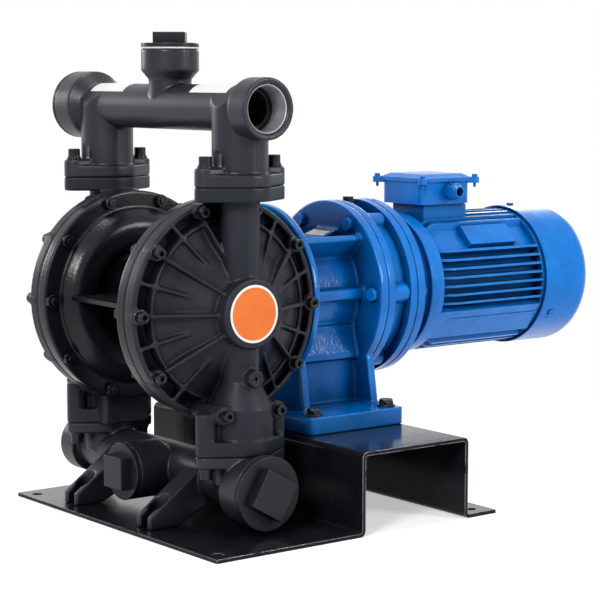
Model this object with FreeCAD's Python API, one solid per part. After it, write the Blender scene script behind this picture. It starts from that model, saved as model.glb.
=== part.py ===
"""Electric double-diaphragm pump on a bent steel base plate.

Two disc-shaped diaphragm chambers stand on either side of a crankcase. A foot-mounted
cycloidal reducer with a flanged motor turns an eccentric in the crankcase, which moves a
plunger to and fro and with it both diaphragms. Ball valves sit between each chamber and
the suction manifold below and the discharge manifold above.

Millimetres. +X is the drive axis from the pump to the motor, +Y the diaphragm axis, +Z up.
The origin is on the underside of the base plate, straight below the point where the drive
axis crosses the diaphragm axis. The near side of the pump is -Y, the far side is +Y.
"""
import FreeCAD, Part
import math
import os

V = FreeCAD.Vector
X = V(1, 0, 0)
Y = V(0, 1, 0)
Z = V(0, 0, 1)

# Fits
RUN_FIT = 0.05          # radial, a shaft that runs in a bore
LOOSE_FIT = 0.4         # between moving pieces that must never touch
SEAT_FIT = 0.05         # radial, a fixed piece seated in a bore
BOLT_FIT = 0.5          # radial, a bolt in its hole

# Base plate, one bent sheet
PLATE_T = 5.0
PLATE_FRONT_X = -122.0
PLATE_NEAR_Y = -275.0
PLATE_FAR_Y = 196.0
RISER_FRONT_X = 100.0
RISER_REAR_X = 277.0
PLATE_REAR_X = 327.0
DECK_Z = 107.4
BEND_R = 3.0
PLATE_HOLE_R = 7.0
PLATE_HOLE_FRONT_X = -106.0
PLATE_HOLE_REAR_X = 302.0
PLATE_HOLE_NEAR_Y = -254.0
PLATE_HOLE_FAR_Y = 171.0

# Drive and diaphragm axes
AXIS_Z = 279.0

# Chamber rim, shared by casings, covers and diaphragms
RIM_R = 140.0
RIM_IN_A = 86.0         # inner face of the inner casing's rim, from the mid-plane
PARTING_A = 105.0
DIAPHRAGM_T = 2.0
COVER_RIM_A = 124.3
RIM_BOLTS = 10
RIM_BOLT_PCR = 131.0
RIM_BOLT_R = 4.0
RIM_HEAD_R = 7.2
RIM_HEAD_H = 9.0
RIM_WASHER_R = 9.4
RIM_WASHER_T = 1.6
RIM_NUT_AF = 15.5
RIM_NUT_H = 6.5
RIM_BOSS_R = 11.0
RIM_BOSS_A = 127.5
LONG_BOSS_A = 178.0     # the two lowest bolts pass through the valve block
CASING_FACE_A = 80.0    # where the inner casing meets the crankcase
CASING_WALL = 8.0
CASING_STEP_R = 116.0
BULGE_IN_R = 60.0       # the rounded ring bulge that gives the diaphragm room
BULGE_OUT_R = 113.0
BULGE_RISE = 14.0
BULGE_ROUND_R = 24.0
CAVITY_R = 111.0
GUIDE_BOSS_R = 26.0     # boss round each rod bush, inside the crankcase
GUIDE_BOSS_A = 60.0

# Outer cover
RING_OUT_R = 133.0      # the pocket ring lies between these two radii
RING_IN_R = 117.0
RING_WALL = 4.5
RING_TOP_A = 130.0
POCKET_FLOOR_A = 112.0
RIB_W = 5.0
DOME_EDGE_A = 123.0
DOME_MID_R = 90.0
DOME_MID_A = 134.0
DOME_TOP_R = 50.0
DOME_TOP_A = 163.0
COVER_WALL = 8.0
HUB_R = 44.0
HUB_A = 183.5
LONG_RIB_A = 174.0      # top of the long ribs where they meet the hub
SHORT_RIB_R = 70.0
BADGE_R = 36.2
BADGE_T = 0.5
DRAIN_Z = 198.0
DRAIN_BOSS_R = 11.0
DRAIN_BOSS_A = 189.0
DRAIN_PLUG_R = 5.0

# Chamber ports and valve legs
LEG_A = 154.0
TOP_TUBE_R = 24.5
TUBE_BORE_R = 17.0
LOW_TUBE_R = 23.5
FLANGE_R = 42.0
FLANGE_BOLT_X = 52.5
FLANGE_LOBE_R = 13.4
TOP_PARTING_Z = 435.5
TOP_FLANGE_T = 18.0
LOW_PARTING_Z = 102.0
LOW_FLANGE_T = 19.0
BLOCK_TOP_Z = 156.0
BLOCK_HALF = 36.0       # half width of the web from the valve block to the cover's rim
HOUSING_R = 41.0
HOUSING_TOP_Z = 193.0
BOLT_BITE = 26.0        # how far a flange bolt reaches into the cover's lower block

# Ball valves
BALL_R = 20.0
SEAT_BORE_R = 15.0
SEAT_OUT_R = 29.0
SEAT_T = 8.0
CAGE_BORE_R = 27.0
CAGE_RIB_W = 5.0
CAGE_RIBS = 3
BALL_LIFT = 10.0
CAGE_STOP_R = 8.0       # inner radius of the rib ends that stop a rising ball

# Discharge manifold
TOP_PIPE_Z = 531.7
TOP_PIPE_R = 29.25
TOP_PIPE_BORE_R = 21.5
LEG_R = 35.3
ELBOW_SLOPE = 50.0      # degrees, the elbow's shoulder below the pipe's crest
MANIFOLD_FLANGE_T = 15.5
BOLT_PAD_T = 8.0
PORT_NEAR_Y = -213.5
PORT_NEAR_R = 38.3
PORT_NEAR_BACK_Y = -180.0
PORT_THREAD_R = 29.8
PORT_THREAD_L = 32.0
PORT_CHAMFER = 3.0
PORT_FAR_Y = 217.6
PORT_FAR_R = 45.4
PORT_FAR_BACK_Y = 181.0
TOP_NECK_R = 27.8
TOP_BOSS_R = 37.5
TOP_BOSS_CONE_Z = TOP_PIPE_Z + 35.3
TOP_BOSS_LOW_Z = TOP_PIPE_Z + 46.3
TOP_BOSS_Z = TOP_PIPE_Z + 74.3
TOP_BOSS_BORE_R = 25.0
GASKET_T = 2.0
PLUG_FLANGE_T = 5.4
TOP_HEAD_SQ = 41.6
PLUG_HEAD_H = 14.0
TOP_HEAD_TURN = 7.0     # degrees from +X to a corner of the head
PLUG_STEM_L = 20.0
LABEL_OVER = 12.0       # degrees the labels reach past the pipe's crest
LABEL_NEAR_Y = (-156.0, -76.0)
LABEL_FAR_Y = (79.0, 159.0)
LABEL_T = 0.3

# Flange bolts, M10
FLANGE_BOLT_R = 5.0
FLANGE_HEAD_R = 8.0
FLANGE_HEAD_H = 10.0
FLANGE_WASHER_R = 10.0
FLANGE_WASHER_T = 2.0
SPRING_WASHER_R = 9.0
SPRING_WASHER_T = 2.6
TOOL_NOTCH_R = 20.0

# Suction manifold
LOW_PIPE_Z = 61.0
LOW_PIPE_R = 31.5
LOW_PIPE_BORE_R = 24.0
LOW_NEAR_Y = -207.0
LOW_NEAR_Z = 57.5
LOW_NEAR_BACK_Y = -172.0
LOW_NEAR_R = 47.0
LOW_NEAR_BORE_R = 34.0
LOW_FLANGE_LOBE_T = 15.0
CAP_Y = 224.0
CAP_R = 40.0
CAP_L = 36.0
SIDE_BOSS_R = 37.5
SIDE_BOSS_X = -72.0
SIDE_BACK_X = -24.0
SIDE_BORE_R = 26.0
SIDE_HEAD_SQ = 42.0
NEAR_HEAD_SQ = 51.0
NEAR_HEAD_TURN = 15.0   # degrees from straight up to a corner of the head
SEAL_T = 2.0
FOOT_Y = 88.4
FOOT_W = 33.5
FOOT_END_X = -102.6
FOOT_TOE_H = 16.0
FOOT_SLOT_W = 14.0
FOOT_SLOT_X = -80.0
FOOT_SCOOP_R = 12.5
FOOT_SCOOP_Z = 21.0
FOOT_ROOT_X = -18.0
FOOT_ROOT_Z = 82.0

# Crankcase
CRANK_R = 50.0
CRANK_CAVITY_R = 41.0
CRANK_BORE_R = 36.0
CRANK_FRONT_X = -56.0
CRANK_END_T = 8.0
CRANK_FLANGE_R = 74.0
CRANK_FLANGE_T = 14.0
TIE_WEB_X = -108.0
TIE_WEB_LOW_Z = 279.0
TIE_WEB_T = 7.0
TIE_KNOB_R = 5.0
COUPLING_BOLTS = 6
COUPLING_PCR = 62.0
COUPLING_BOLT_R = 4.0
CASING_SCREWS = 8
CASING_SCREW_R = 2.5
CASING_SCREW_SINK = 3.0     # depth of the recess for each head

# Plunger, its bushes and the diaphragm stack
STROKE = 6.0            # the plunger moves this far each way, the eccentric's throw
ROD_R = 15.0
BUSH_WALL = 3.5
BUSH_L = 18.0
SEAL_RING_W = 6.0
YOKE_X = 11.0
YOKE_WALL_Y = 7.0
YOKE_WALL_Z = 6.0
SHOULDER_A = 95.5       # the rod steps down here to its stud
STUD_R = 8.0
INNER_PLATE_R = 70.0
OUTER_PLATE_R = 66.0
PLATE_DISC_T = 7.0
SOFT_T = 3.0
ROLL_IN_R = 81.0        # the diaphragm's rolled ring lies between these two radii
ROLL_OUT_R = 103.0
ROLL_RISE = 10.0
ROD_NUT_AF = 24.0
ROD_NUT_H = 9.0

# Eccentric on the output shaft
JOURNAL_R = 10.0
ECCENTRIC_R = 19.0
ECCENTRIC_W = 22.0
ROLLER_RING_R = 26.0    # outside of the bearing on the eccentric
JOURNAL_END_X = -16.0
JOURNAL_FROM_X = 18.0

# Reducer
OUT_SHAFT_R = 22.5
FLANGE_1_X = 143.0
FLANGE_1_T = 10.0
REDUCER_R = 121.8
FLANGE_2_X = 257.0
FLANGE_2_T = 14.0
PIN_HOUSING_RIM_T = 12.0
LOBE_RING_R = 109.0
THROUGH_LOBE_R = 14.0
PIN_HOUSING_X1 = 310.0
ADAPTER_T = 12.0
BARREL_R = 73.0
BARREL_RIB_R = 109.0
BARREL_SIDE_RIB_R = 86.0
BARREL_RIB_W = 10.0
BARREL_SIDE_RIB_W = 16.0
BARREL_BORE_R = 60.0
BEARING_OD_R = 42.5
BEARING_W = 19.0
FRONT_BEARING_X = 163.0
REAR_BEARING_X = 226.0
OIL_SEAL_W = 8.0
THROUGH_BOLTS = 6
THROUGH_PCR = 106.0
THROUGH_R = 5.0
THROUGH_HEAD_AF = 17.0
THROUGH_HEAD_H = 7.0
FOOT_X0 = 115.0
FOOT_X1 = 275.0
REDUCER_FOOT_Y = 150.0
REDUCER_FOOT_T = 23.0
WEB_T = 12.0
WEB_TOP_Y = 90.0
WEB_LOW_Y = 100.0
WEB_TOP_Z = 190.0
PEDESTAL_Y = 64.0
PEDESTAL_TOP_Z = 236.0
LEDGE_Y = 72.0
LEDGE_Z = 198.0
LEDGE_T = 9.0
FOOT_BOLT_FRONT_X = 133.0
FOOT_BOLT_REAR_X = 257.0
FOOT_BOLT_Y = 132.5
FOOT_BOLT_R = 6.0
FOOT_BOLT_AF = 18.0
FOOT_BOLT_HEAD_H = 7.5
FOOT_WASHER_R = 12.0
FOOT_WASHER_T = 2.5
OIL_PLUG_X = 297.0
NAMEPLATE_SEAT_X = 229.0    # front edge of the sloping pad under the nameplate
NAMEPLATE_SEAT_Z = 353.0
NAMEPLATE_SLOPE = 20.0      # degrees
NAMEPLATE_Y = -6.0
NAMEPLATE_W = 41.0
NAMEPLATE_L = 24.0
NAMEPLATE_T = 0.8
OIL_PLUG_AF = 14.0

# Cycloid gear
LOBES = 17              # on each cycloid disc, one less than the ring pins
PIN_CIRCLE_R = 76.0
RING_PIN_R = 4.0
THROW = 2.0             # eccentricity of the input sleeve
MESH_FIT = 0.35
DISC_T = 10.0
DISC_GAP = 2.0
DISC_1_X = 278.0
OUTPUT_PINS = 6
OUTPUT_PIN_PCR = 48.0
OUTPUT_PIN_R = 6.0
CARRIER_R = 58.0
CARRIER_T = 10.0
SLEEVE_R = 24.0
SLEEVE_RING_R = 30.0

# Motor
SHAFT_R = 12.0
MOTOR_FLANGE_T = 14.0
SHIELD_NECK_R = 92.0
SHIELD_RING_R = 101.0
SHIELD_RING_X = 366.0
FRAME_X0 = 380.0
FRAME_X1 = 583.0
FRAME_BODY_R = 82.0
FRAME_BORE_R = 70.0
FIN_R = 98.5
FIN_T = 3.2
FIN_PITCH = 12.2
FIN_X0 = 398.0
FIN_TAPER = 14.0
PAD_R = 97.0
PAD_W = 34.0
PAD_X0 = 457.0
PAD_X1 = 545.0
LOW_PAD_W = 48.0
STATOR_X0 = 425.0
STATOR_X1 = 540.0
ROTOR_R = 44.5
STATOR_IN_R = 45.0
WINDING_L = 22.0
MOTOR_BEARING_R = 26.0
MOTOR_BEARING_W = 15.0
MOTOR_BEARING_1_X = 350.0
MOTOR_BEARING_2_X = 572.0
REAR_SHIELD_R = 97.0
REAR_SHIELD_T = 10.0
FAN_X = 604.0
FAN_R = 80.0
FAN_W = 24.0
FAN_BLADES = 8
COVER_SHELL_R = 102.0
COVER_SHELL_T = 2.0
COVER_SHELL_X0 = 587.0
COVER_SHELL_X1 = 680.0
COVER_ROUND_R = 22.0
COVER_SCREW_X = 608.0
COVER_SCREWS = 3
COVER_SCREW_R = 2.5

# Terminal box
BOX_X = 441.0
NECK_X0 = 407.0
NECK_X1 = 489.0
NECK_Y = 34.5
NECK_Z = 388.5
BOX_GASKET_T = 2.5
BOX_HALF = 46.0
BOX_Z = 423.0
BOX_WALL = 4.0
BOX_ROUND = 12.0
LID_T = 5.5
LID_HALF = 49.0
LID_TOP_HALF = 36.0
LID_RISE = 5.0
EAR_AT = 49.5
EAR_R = 6.5
EAR_H = 3.0
GLAND_X = 444.0
GLAND_Z = 409.0
GLAND_R = 12.0
GLAND_BORE_R = 6.5
GLAND_L = 24.0


def cyl(radius, length, base, axis):
    """A solid cylinder from a base point along an axis."""
    return Part.makeCylinder(radius, length, base, axis)


def ring(outer, inner, length, base, axis):
    """A plain tube."""
    reach = axis * 1.0
    return cyl(outer, length, base, axis).cut(cyl(inner, length + 2, base - reach, axis))


def box(x0, x1, y0, y1, z0, z1):
    """A box between two corners."""
    return Part.makeBox(x1 - x0, y1 - y0, z1 - z0, V(x0, y0, z0))


def cone(r0, r1, length, base, axis):
    """A cone from radius r0 to r1."""
    return Part.makeCone(r0, r1, length, base, axis)


def fuse(shapes):
    """One solid from several overlapping ones."""
    return shapes[0].multiFuse(shapes[1:]).removeSplitter()


def group(shapes):
    """Separate solids that share one node."""
    return Part.makeCompound(shapes)


def outline(corners):
    """A flat face from corners (point, fillet radius), each round corner a tangent arc."""
    points = [c[0] for c in corners]
    edges = []
    ends = []
    count = len(corners)
    for i in range(count):
        here = points[i]
        radius = corners[i][1]
        if radius == 0:
            ends.append((here, None, here))
            continue
        back = (points[i - 1] - here).normalize()
        ahead = (points[(i + 1) % count] - here).normalize()
        half = back.getAngle(ahead) / 2
        run = radius / math.tan(half)
        bisector = (back + ahead).normalize()
        centre = here + bisector * (radius / math.sin(half))
        ends.append((here + back * run, centre - bisector * radius, here + ahead * run))
    for i in range(count):
        start, middle, end = ends[i]
        following = ends[(i + 1) % count][0]
        if middle is not None:
            edges.append(Part.Arc(start, middle, end).toShape())
        if end.distanceToPoint(following) > 1e-6:
            edges.append(Part.LineSegment(end, following).toShape())
    return Part.Face(Part.Wire(edges))


def turned(profile):
    """A solid turned about the diaphragm axis from (radius, distance out, fillet) points."""
    corners = [(V(p[0], p[1], AXIS_Z), p[2] if len(p) > 2 else 0) for p in profile]
    return outline(corners).revolve(V(0, 0, AXIS_Z), Y, 360)


def turned_x(profile):
    """A solid turned about the drive axis from (x, radius, fillet) points."""
    corners = [(V(p[0], 0, AXIS_Z + p[1]), p[2] if len(p) > 2 else 0) for p in profile]
    return outline(corners).revolve(V(0, 0, AXIS_Z), X, 360)


def on_disc(radius, angle, a):
    """A point on the far chamber: radius and angle in degrees about the diaphragm axis."""
    t = math.radians(angle)
    return V(radius * math.cos(t), a, AXIS_Z + radius * math.sin(t))


def on_drive(radius, angle, x):
    """A point about the drive axis, angle in degrees from +Y towards +Z."""
    t = math.radians(angle)
    return V(x, radius * math.cos(t), AXIS_Z + radius * math.sin(t))


def mirrored(shape):
    """The near-side twin of a far-side piece."""
    return shape.mirror(V(0, 0, 0), Y)


def prism(across_flats, length, base, axis, sides=6, turn=0.0):
    """A hexagonal or square bar, such as a nut or a plug's head."""
    radius = across_flats / 2 / math.cos(math.pi / sides)
    side_dir = Z if abs(axis.dot(Z)) < 0.9 else X
    u = side_dir
    v = axis.cross(u)
    points = []
    for i in range(sides + 1):
        t = math.radians(turn) + 2 * math.pi * i / sides
        points.append(base + u * (radius * math.cos(t)) + v * (radius * math.sin(t)))
    return Part.Face(Part.makePolygon(points)).extrude(axis * length)


def rounded_prism(across_flats, length, base, axis, turn, edge):
    """A square head with its long edges and its outer face's edges rounded."""
    body = prism(across_flats, length, base, axis, 4, turn)
    keep = [e for e in body.Edges if (e.CenterOfMass - base).dot(axis) > 1e-3]
    return body.makeFillet(edge, keep)


def hex_bolt(af, head_h, shank_r, shank_l, base, axis):
    """A hexagon-head bolt: the head stands along the axis, the shank goes the other way."""
    head = prism(af, head_h, base, axis)
    trim = cone(af * 0.62, af * 0.46, head_h + 1.2, base, axis)
    head = head.common(trim.fuse(cyl(af * 0.62, head_h * 0.55, base, axis)))
    return head.fuse(cyl(shank_r, shank_l, base, axis * -1)).removeSplitter()


def socket_bolt(head_r, head_h, shank_r, shank_l, base, axis):
    """A socket-head screw with its hexagon recess."""
    head = cyl(head_r, head_h, base, axis)
    rim = [e for e in head.Edges if abs((e.CenterOfMass - base).dot(axis) - head_h) < 1e-3]
    head = head.makeFillet(head_r * 0.12, [e for e in rim if e.Closed])
    recess = prism(head_r * 0.92, head_h * 0.6, base + axis * (head_h * 0.42), axis)
    shank = cyl(shank_r, shank_l, base, axis * -1)
    return head.cut(recess).fuse(shank).removeSplitter()


def nut(af, height, hole_r, base, axis):
    """A hexagon nut with chamfered corners."""
    body = prism(af, height, base, axis)
    low = cone(af * 0.5, af * 0.62, af * 0.09, base, axis)
    high_at = base + axis * (height - af * 0.09)
    high = cone(af * 0.62, af * 0.5, af * 0.09, high_at, axis)
    waist = cyl(af * 0.62, height - af * 0.18, base + axis * (af * 0.09), axis)
    body = body.common(fuse([low, waist, high]))
    return body.cut(cyl(hole_r, height + 2, base - axis, axis))


def oval_flange(y, z0, z1):
    """A two-bolt flange about a valve leg: straight flanks from the middle to each lobe."""
    centre = V(0, y, z0)
    height = z1 - z0
    parts = [cyl(FLANGE_R, height, centre, Z)]
    for side in (-1, 1):
        parts.append(cyl(FLANGE_LOBE_R, height, centre + X * (side * FLANGE_BOLT_X), Z))
    lean = math.acos((FLANGE_R - FLANGE_LOBE_R) / FLANGE_BOLT_X)
    points = []
    for sx, sy in ((1, 1), (-1, 1), (-1, -1), (1, -1)):
        touch = V(sx * math.cos(lean), sy * math.sin(lean), 0)
        middle = centre + touch * FLANGE_R
        lobe = centre + X * (sx * FLANGE_BOLT_X) + touch * FLANGE_LOBE_R
        points += [lobe, middle] if sx == sy else [middle, lobe]
    points.append(points[0])
    parts.append(Part.Face(Part.makePolygon(points)).extrude(Z * height))
    return fuse(parts)


def flange_holes(y, z0, z1):
    """The bolt holes through a two-bolt flange."""
    holes = []
    for side in (-1, 1):
        base = V(side * FLANGE_BOLT_X, y, z0)
        holes.append(cyl(FLANGE_BOLT_R + BOLT_FIT, z1 - z0, base, Z))
    return group(holes)


def flange_threads(z0, depth):
    """The bolts' blind holes in the far cover's flange."""
    return group([cyl(FLANGE_BOLT_R + SEAT_FIT, depth, V(side * FLANGE_BOLT_X, LEG_A, z0), Z)
                  for side in (-1, 1)])


def rim_angles():
    """Angle of each rim bolt about the diaphragm axis."""
    return [i * 360 / RIM_BOLTS for i in range(RIM_BOLTS)]


def is_low(angle):
    """True for the two bolts at the bottom, which pass through the valve block."""
    return abs(angle - 270) < 360 / RIM_BOLTS


def rim_holes(a0, a1):
    """Holes for the rim bolts between two distances from the mid-plane."""
    holes = []
    for angle in rim_angles():
        base = on_disc(RIM_BOLT_PCR, angle, a0)
        holes.append(cyl(RIM_BOLT_R + BOLT_FIT, a1 - a0, base, Y))
    return group(holes)


def base_plate():
    """Front plate, riser, deck, riser and rear flange, bent from one sheet."""
    t = PLATE_T
    outer = BEND_R + t
    corners = [
        (PLATE_FRONT_X, 0, 0),
        (RISER_FRONT_X + t, 0, outer),
        (RISER_FRONT_X + t, DECK_Z - t, BEND_R),
        (RISER_REAR_X - t, DECK_Z - t, BEND_R),
        (RISER_REAR_X - t, 0, outer),
        (PLATE_REAR_X, 0, 0),
        (PLATE_REAR_X, t, 0),
        (RISER_REAR_X, t, BEND_R),
        (RISER_REAR_X, DECK_Z, outer),
        (RISER_FRONT_X, DECK_Z, outer),
        (RISER_FRONT_X, t, BEND_R),
        (PLATE_FRONT_X, t, 0),
    ]
    face = outline([(V(x, PLATE_NEAR_Y, z), r) for x, z, r in corners])
    sheet = face.extrude(Y * (PLATE_FAR_Y - PLATE_NEAR_Y))
    holes = []
    for x in (PLATE_HOLE_FRONT_X, PLATE_HOLE_REAR_X):
        for y in (PLATE_HOLE_NEAR_Y, PLATE_HOLE_FAR_Y):
            holes.append(cyl(PLATE_HOLE_R, 3 * t, V(x, y, -t), Z))
    for x, y in foot_bolt_places():
        holes.append(cyl(FOOT_BOLT_R + BOLT_FIT, 3 * t, V(x, y, DECK_Z - 2 * t), Z))
    return sheet.cut(group(holes))


def foot_bolt_places():
    """Where the reducer's foot is bolted to the deck."""
    places = []
    for x in (FOOT_BOLT_FRONT_X, FOOT_BOLT_REAR_X):
        for y in (-FOOT_BOLT_Y, FOOT_BOLT_Y):
            places.append((x, y))
    return places


def casing_skin(rise):
    """The casing's wall from the hub to the ledge, as (radius, distance out, fillet)."""
    low = CASING_FACE_A + rise
    slope = BULGE_RISE * 0.8
    lean = math.copysign(min(rise, 1.0), rise) * 3.0
    return [
        (BULGE_IN_R + lean, low, BULGE_ROUND_R * 0.3),
        (BULGE_IN_R + slope + lean, low - BULGE_RISE, BULGE_ROUND_R - rise),
        (BULGE_OUT_R - slope - lean, low - BULGE_RISE, BULGE_ROUND_R - rise),
    ]


def inner_casing():
    """The far inner casing: bolted rim, ring bulge, flat hub and the rod bush's boss."""
    low = CASING_FACE_A
    inside = low + CASING_WALL
    rim_top = PARTING_A - DIAPHRAGM_T / 2
    bore = ROD_R + BUSH_WALL + SEAT_FIT
    skin = casing_skin(0)
    lining = casing_skin(CASING_WALL)
    shell = turned([
        (bore, GUIDE_BOSS_A),
        (GUIDE_BOSS_R, GUIDE_BOSS_A, 1.5),
        (GUIDE_BOSS_R, low),
    ] + skin + [
        (CASING_STEP_R, RIM_IN_A - 4, 2.0),
        (CASING_STEP_R, RIM_IN_A),
        (RIM_R, RIM_IN_A, 1.5),
        (RIM_R, rim_top),
        (CAVITY_R, rim_top),
        (CAVITY_R - 3, inside),
    ] + lining[::-1] + [
        (bore, inside),
    ])
    shell = shell.cut(rim_holes(RIM_IN_A - 1, PARTING_A))
    for base in casing_screw_places(inside - CASING_SCREW_SINK):
        shell = shell.cut(cyl(casing_screw_head_r() + BOLT_FIT, CASING_SCREW_SINK + 1, base, Y))
    return shell.cut(casing_screw_holes(low - 1, inside + 1))


def casing_room():
    """The solid space the far inner casing takes up outside the crankcase."""
    high = RIM_IN_A + CASING_WALL
    return turned([(0, CASING_FACE_A)] + casing_skin(0) + [
        (CASING_STEP_R, RIM_IN_A - 4, 2.0),
        (CASING_STEP_R, high),
        (0, high),
    ])


def casing_screw_places(a):
    """Where the far casing's screws cross a plane."""
    middle = (CRANK_CAVITY_R + CRANK_R) / 2
    step = 360 / CASING_SCREWS
    return [on_disc(middle, step * (i + 0.5), a) for i in range(CASING_SCREWS)]


def casing_screw_holes(a0, a1):
    """Holes for the screws that hold an inner casing to the crankcase."""
    reach = a1 - a0
    return group([cyl(CASING_SCREW_R + BOLT_FIT, reach, base, Y)
                  for base in casing_screw_places(a0)])


def casing_screw_head_r():
    """Head radius of the casing's screws."""
    return CASING_SCREW_R * 1.7


def casing_screws():
    """Socket screws inside the far casing, into the crankcase's wall."""
    head_at = CASING_FACE_A + CASING_WALL - CASING_SCREW_SINK
    length = CASING_WALL + 12 - CASING_SCREW_SINK
    return [socket_bolt(casing_screw_head_r(), CASING_SCREW_R * 1.6, CASING_SCREW_R, length,
                        base, Y) for base in casing_screw_places(head_at)]


def dome_points(inset):
    """The cover's domed wall, outside with no inset and inside with the wall's thickness."""
    return [
        (RING_IN_R, DOME_EDGE_A - inset),
        (DOME_MID_R, DOME_MID_A - inset, 40.0),
        (DOME_TOP_R, DOME_TOP_A - inset, 12.0),
    ]


def dome_height(radius):
    """How far out the dome's outside lies at a radius."""
    if radius > DOME_MID_R:
        share = (RING_IN_R - radius) / (RING_IN_R - DOME_MID_R)
        return DOME_EDGE_A + share * (DOME_MID_A - DOME_EDGE_A)
    share = (DOME_MID_R - radius) / (DOME_MID_R - DOME_TOP_R)
    return DOME_MID_A + share * (DOME_TOP_A - DOME_MID_A)


def rib(profile, angle, width):
    """A radial rib on the cover from (radius, distance out) points."""
    points = [V(r, a, AXIS_Z) for r, a in profile]
    points.append(points[0])
    plate = Part.Face(Part.makePolygon(points))
    plate.translate(V(0, 0, -width / 2))
    solid = plate.extrude(Z * width)
    solid.rotate(V(0, 0, AXIS_Z), Y, -angle)
    return solid


def cover_ribs():
    """Long ribs from each bolt to the hub, short ones between, and the pocket dividers."""
    ribs = []
    half = 180 / RIM_BOLTS
    floor = POCKET_FLOOR_A - 2
    for angle in rim_angles():
        if not is_low(angle):
            ribs.append(rib([(RIM_BOLT_PCR, floor), (RIM_BOLT_PCR - 3, RING_TOP_A - 1),
                             (HUB_R - 4, LONG_RIB_A), (HUB_R - 4, DOME_TOP_A - 4),
                             (DOME_MID_R, DOME_MID_A - 4), (RING_IN_R, floor)],
                            angle, RIB_W))
        short = dome_height(SHORT_RIB_R)
        ribs.append(rib([(RING_OUT_R + 3, floor), (RING_OUT_R + 3, COVER_RIM_A - 1),
                         (RING_IN_R, RING_TOP_A - 1), (SHORT_RIB_R, short + 0.5),
                         (SHORT_RIB_R, short - 3), (DOME_MID_R, DOME_MID_A - 4),
                         (RING_IN_R, floor)], angle + half, RIB_W))
        node_at = on_disc(RING_IN_R - RING_WALL / 2, angle + half, floor)
        ribs.append(cyl(RIB_W, RING_TOP_A - floor, node_at, Y))
    return ribs


def cover_body():
    """The cover's turned skin: rim, pocket ring and dome, filled down to the parting."""
    low = PARTING_A + DIAPHRAGM_T / 2
    ridge_r = RING_IN_R - RING_WALL
    return turned([
        (0, low),
        (RIM_R, low),
        (RIM_R, COVER_RIM_A, 1.5),
        (RING_OUT_R, COVER_RIM_A, 1.0),
        (RING_OUT_R, POCKET_FLOOR_A),
        (RING_IN_R, POCKET_FLOOR_A),
        (RING_IN_R, RING_TOP_A, 1.0),
        (ridge_r, RING_TOP_A, 1.0),
        (ridge_r, dome_height(ridge_r)),
    ] + dome_points(0)[1:] + [(HUB_R, DOME_TOP_A), (HUB_R, HUB_A, 2.0), (0, HUB_A)])


def cover_cavity():
    """The liquid chamber inside the cover."""
    low = PARTING_A + DIAPHRAGM_T / 2
    return turned([(0, low - 1), (CAVITY_R - 2, low - 1), (CAVITY_R - 2, low + 3, 0)]
                  + dome_points(COVER_WALL + 2)[1:] + [(0, DOME_TOP_A - COVER_WALL - 2)])


def valve_block():
    """The bottom of the cover: flange, block round the two long bolts and ball housing."""
    z0 = LOW_PARTING_Z
    lobes = []
    for side in (-1, 1):
        centre = V(side * FLANGE_BOLT_X, LEG_A, z0)
        lobes.append(cyl(FLANGE_LOBE_R, BLOCK_TOP_Z - z0, centre, Z))
    back = box(-BLOCK_HALF, BLOCK_HALF, PARTING_A + DIAPHRAGM_T / 2, LEG_A, z0, BLOCK_TOP_Z)
    uprights = [e for e in back.Edges if abs(e.tangentAt(0).z) > 0.9]
    back = back.makeFillet(6, [e for e in uprights if e.CenterOfMass.y < LEG_A - 1])
    flange = oval_flange(LEG_A, z0, z0 + LOW_FLANGE_T)
    centre = V(0, LEG_A, z0)
    shoulder_z = BLOCK_TOP_Z + 4
    housing = cyl(HOUSING_R, shoulder_z - z0, centre, Z)
    shoulder = cone(HOUSING_R, LOW_TUBE_R, HOUSING_TOP_Z - shoulder_z,
                    V(0, LEG_A, shoulder_z), Z)
    bosses = []
    for angle in rim_angles():
        if is_low(angle):
            base = on_disc(RIM_BOLT_PCR, angle, PARTING_A + DIAPHRAGM_T / 2)
            bosses.append(cyl(RIM_BOSS_R + 1, LONG_BOSS_A - base.y, base, Y))
    return fuse([flange, back, housing, shoulder] + lobes + bosses)


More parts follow.
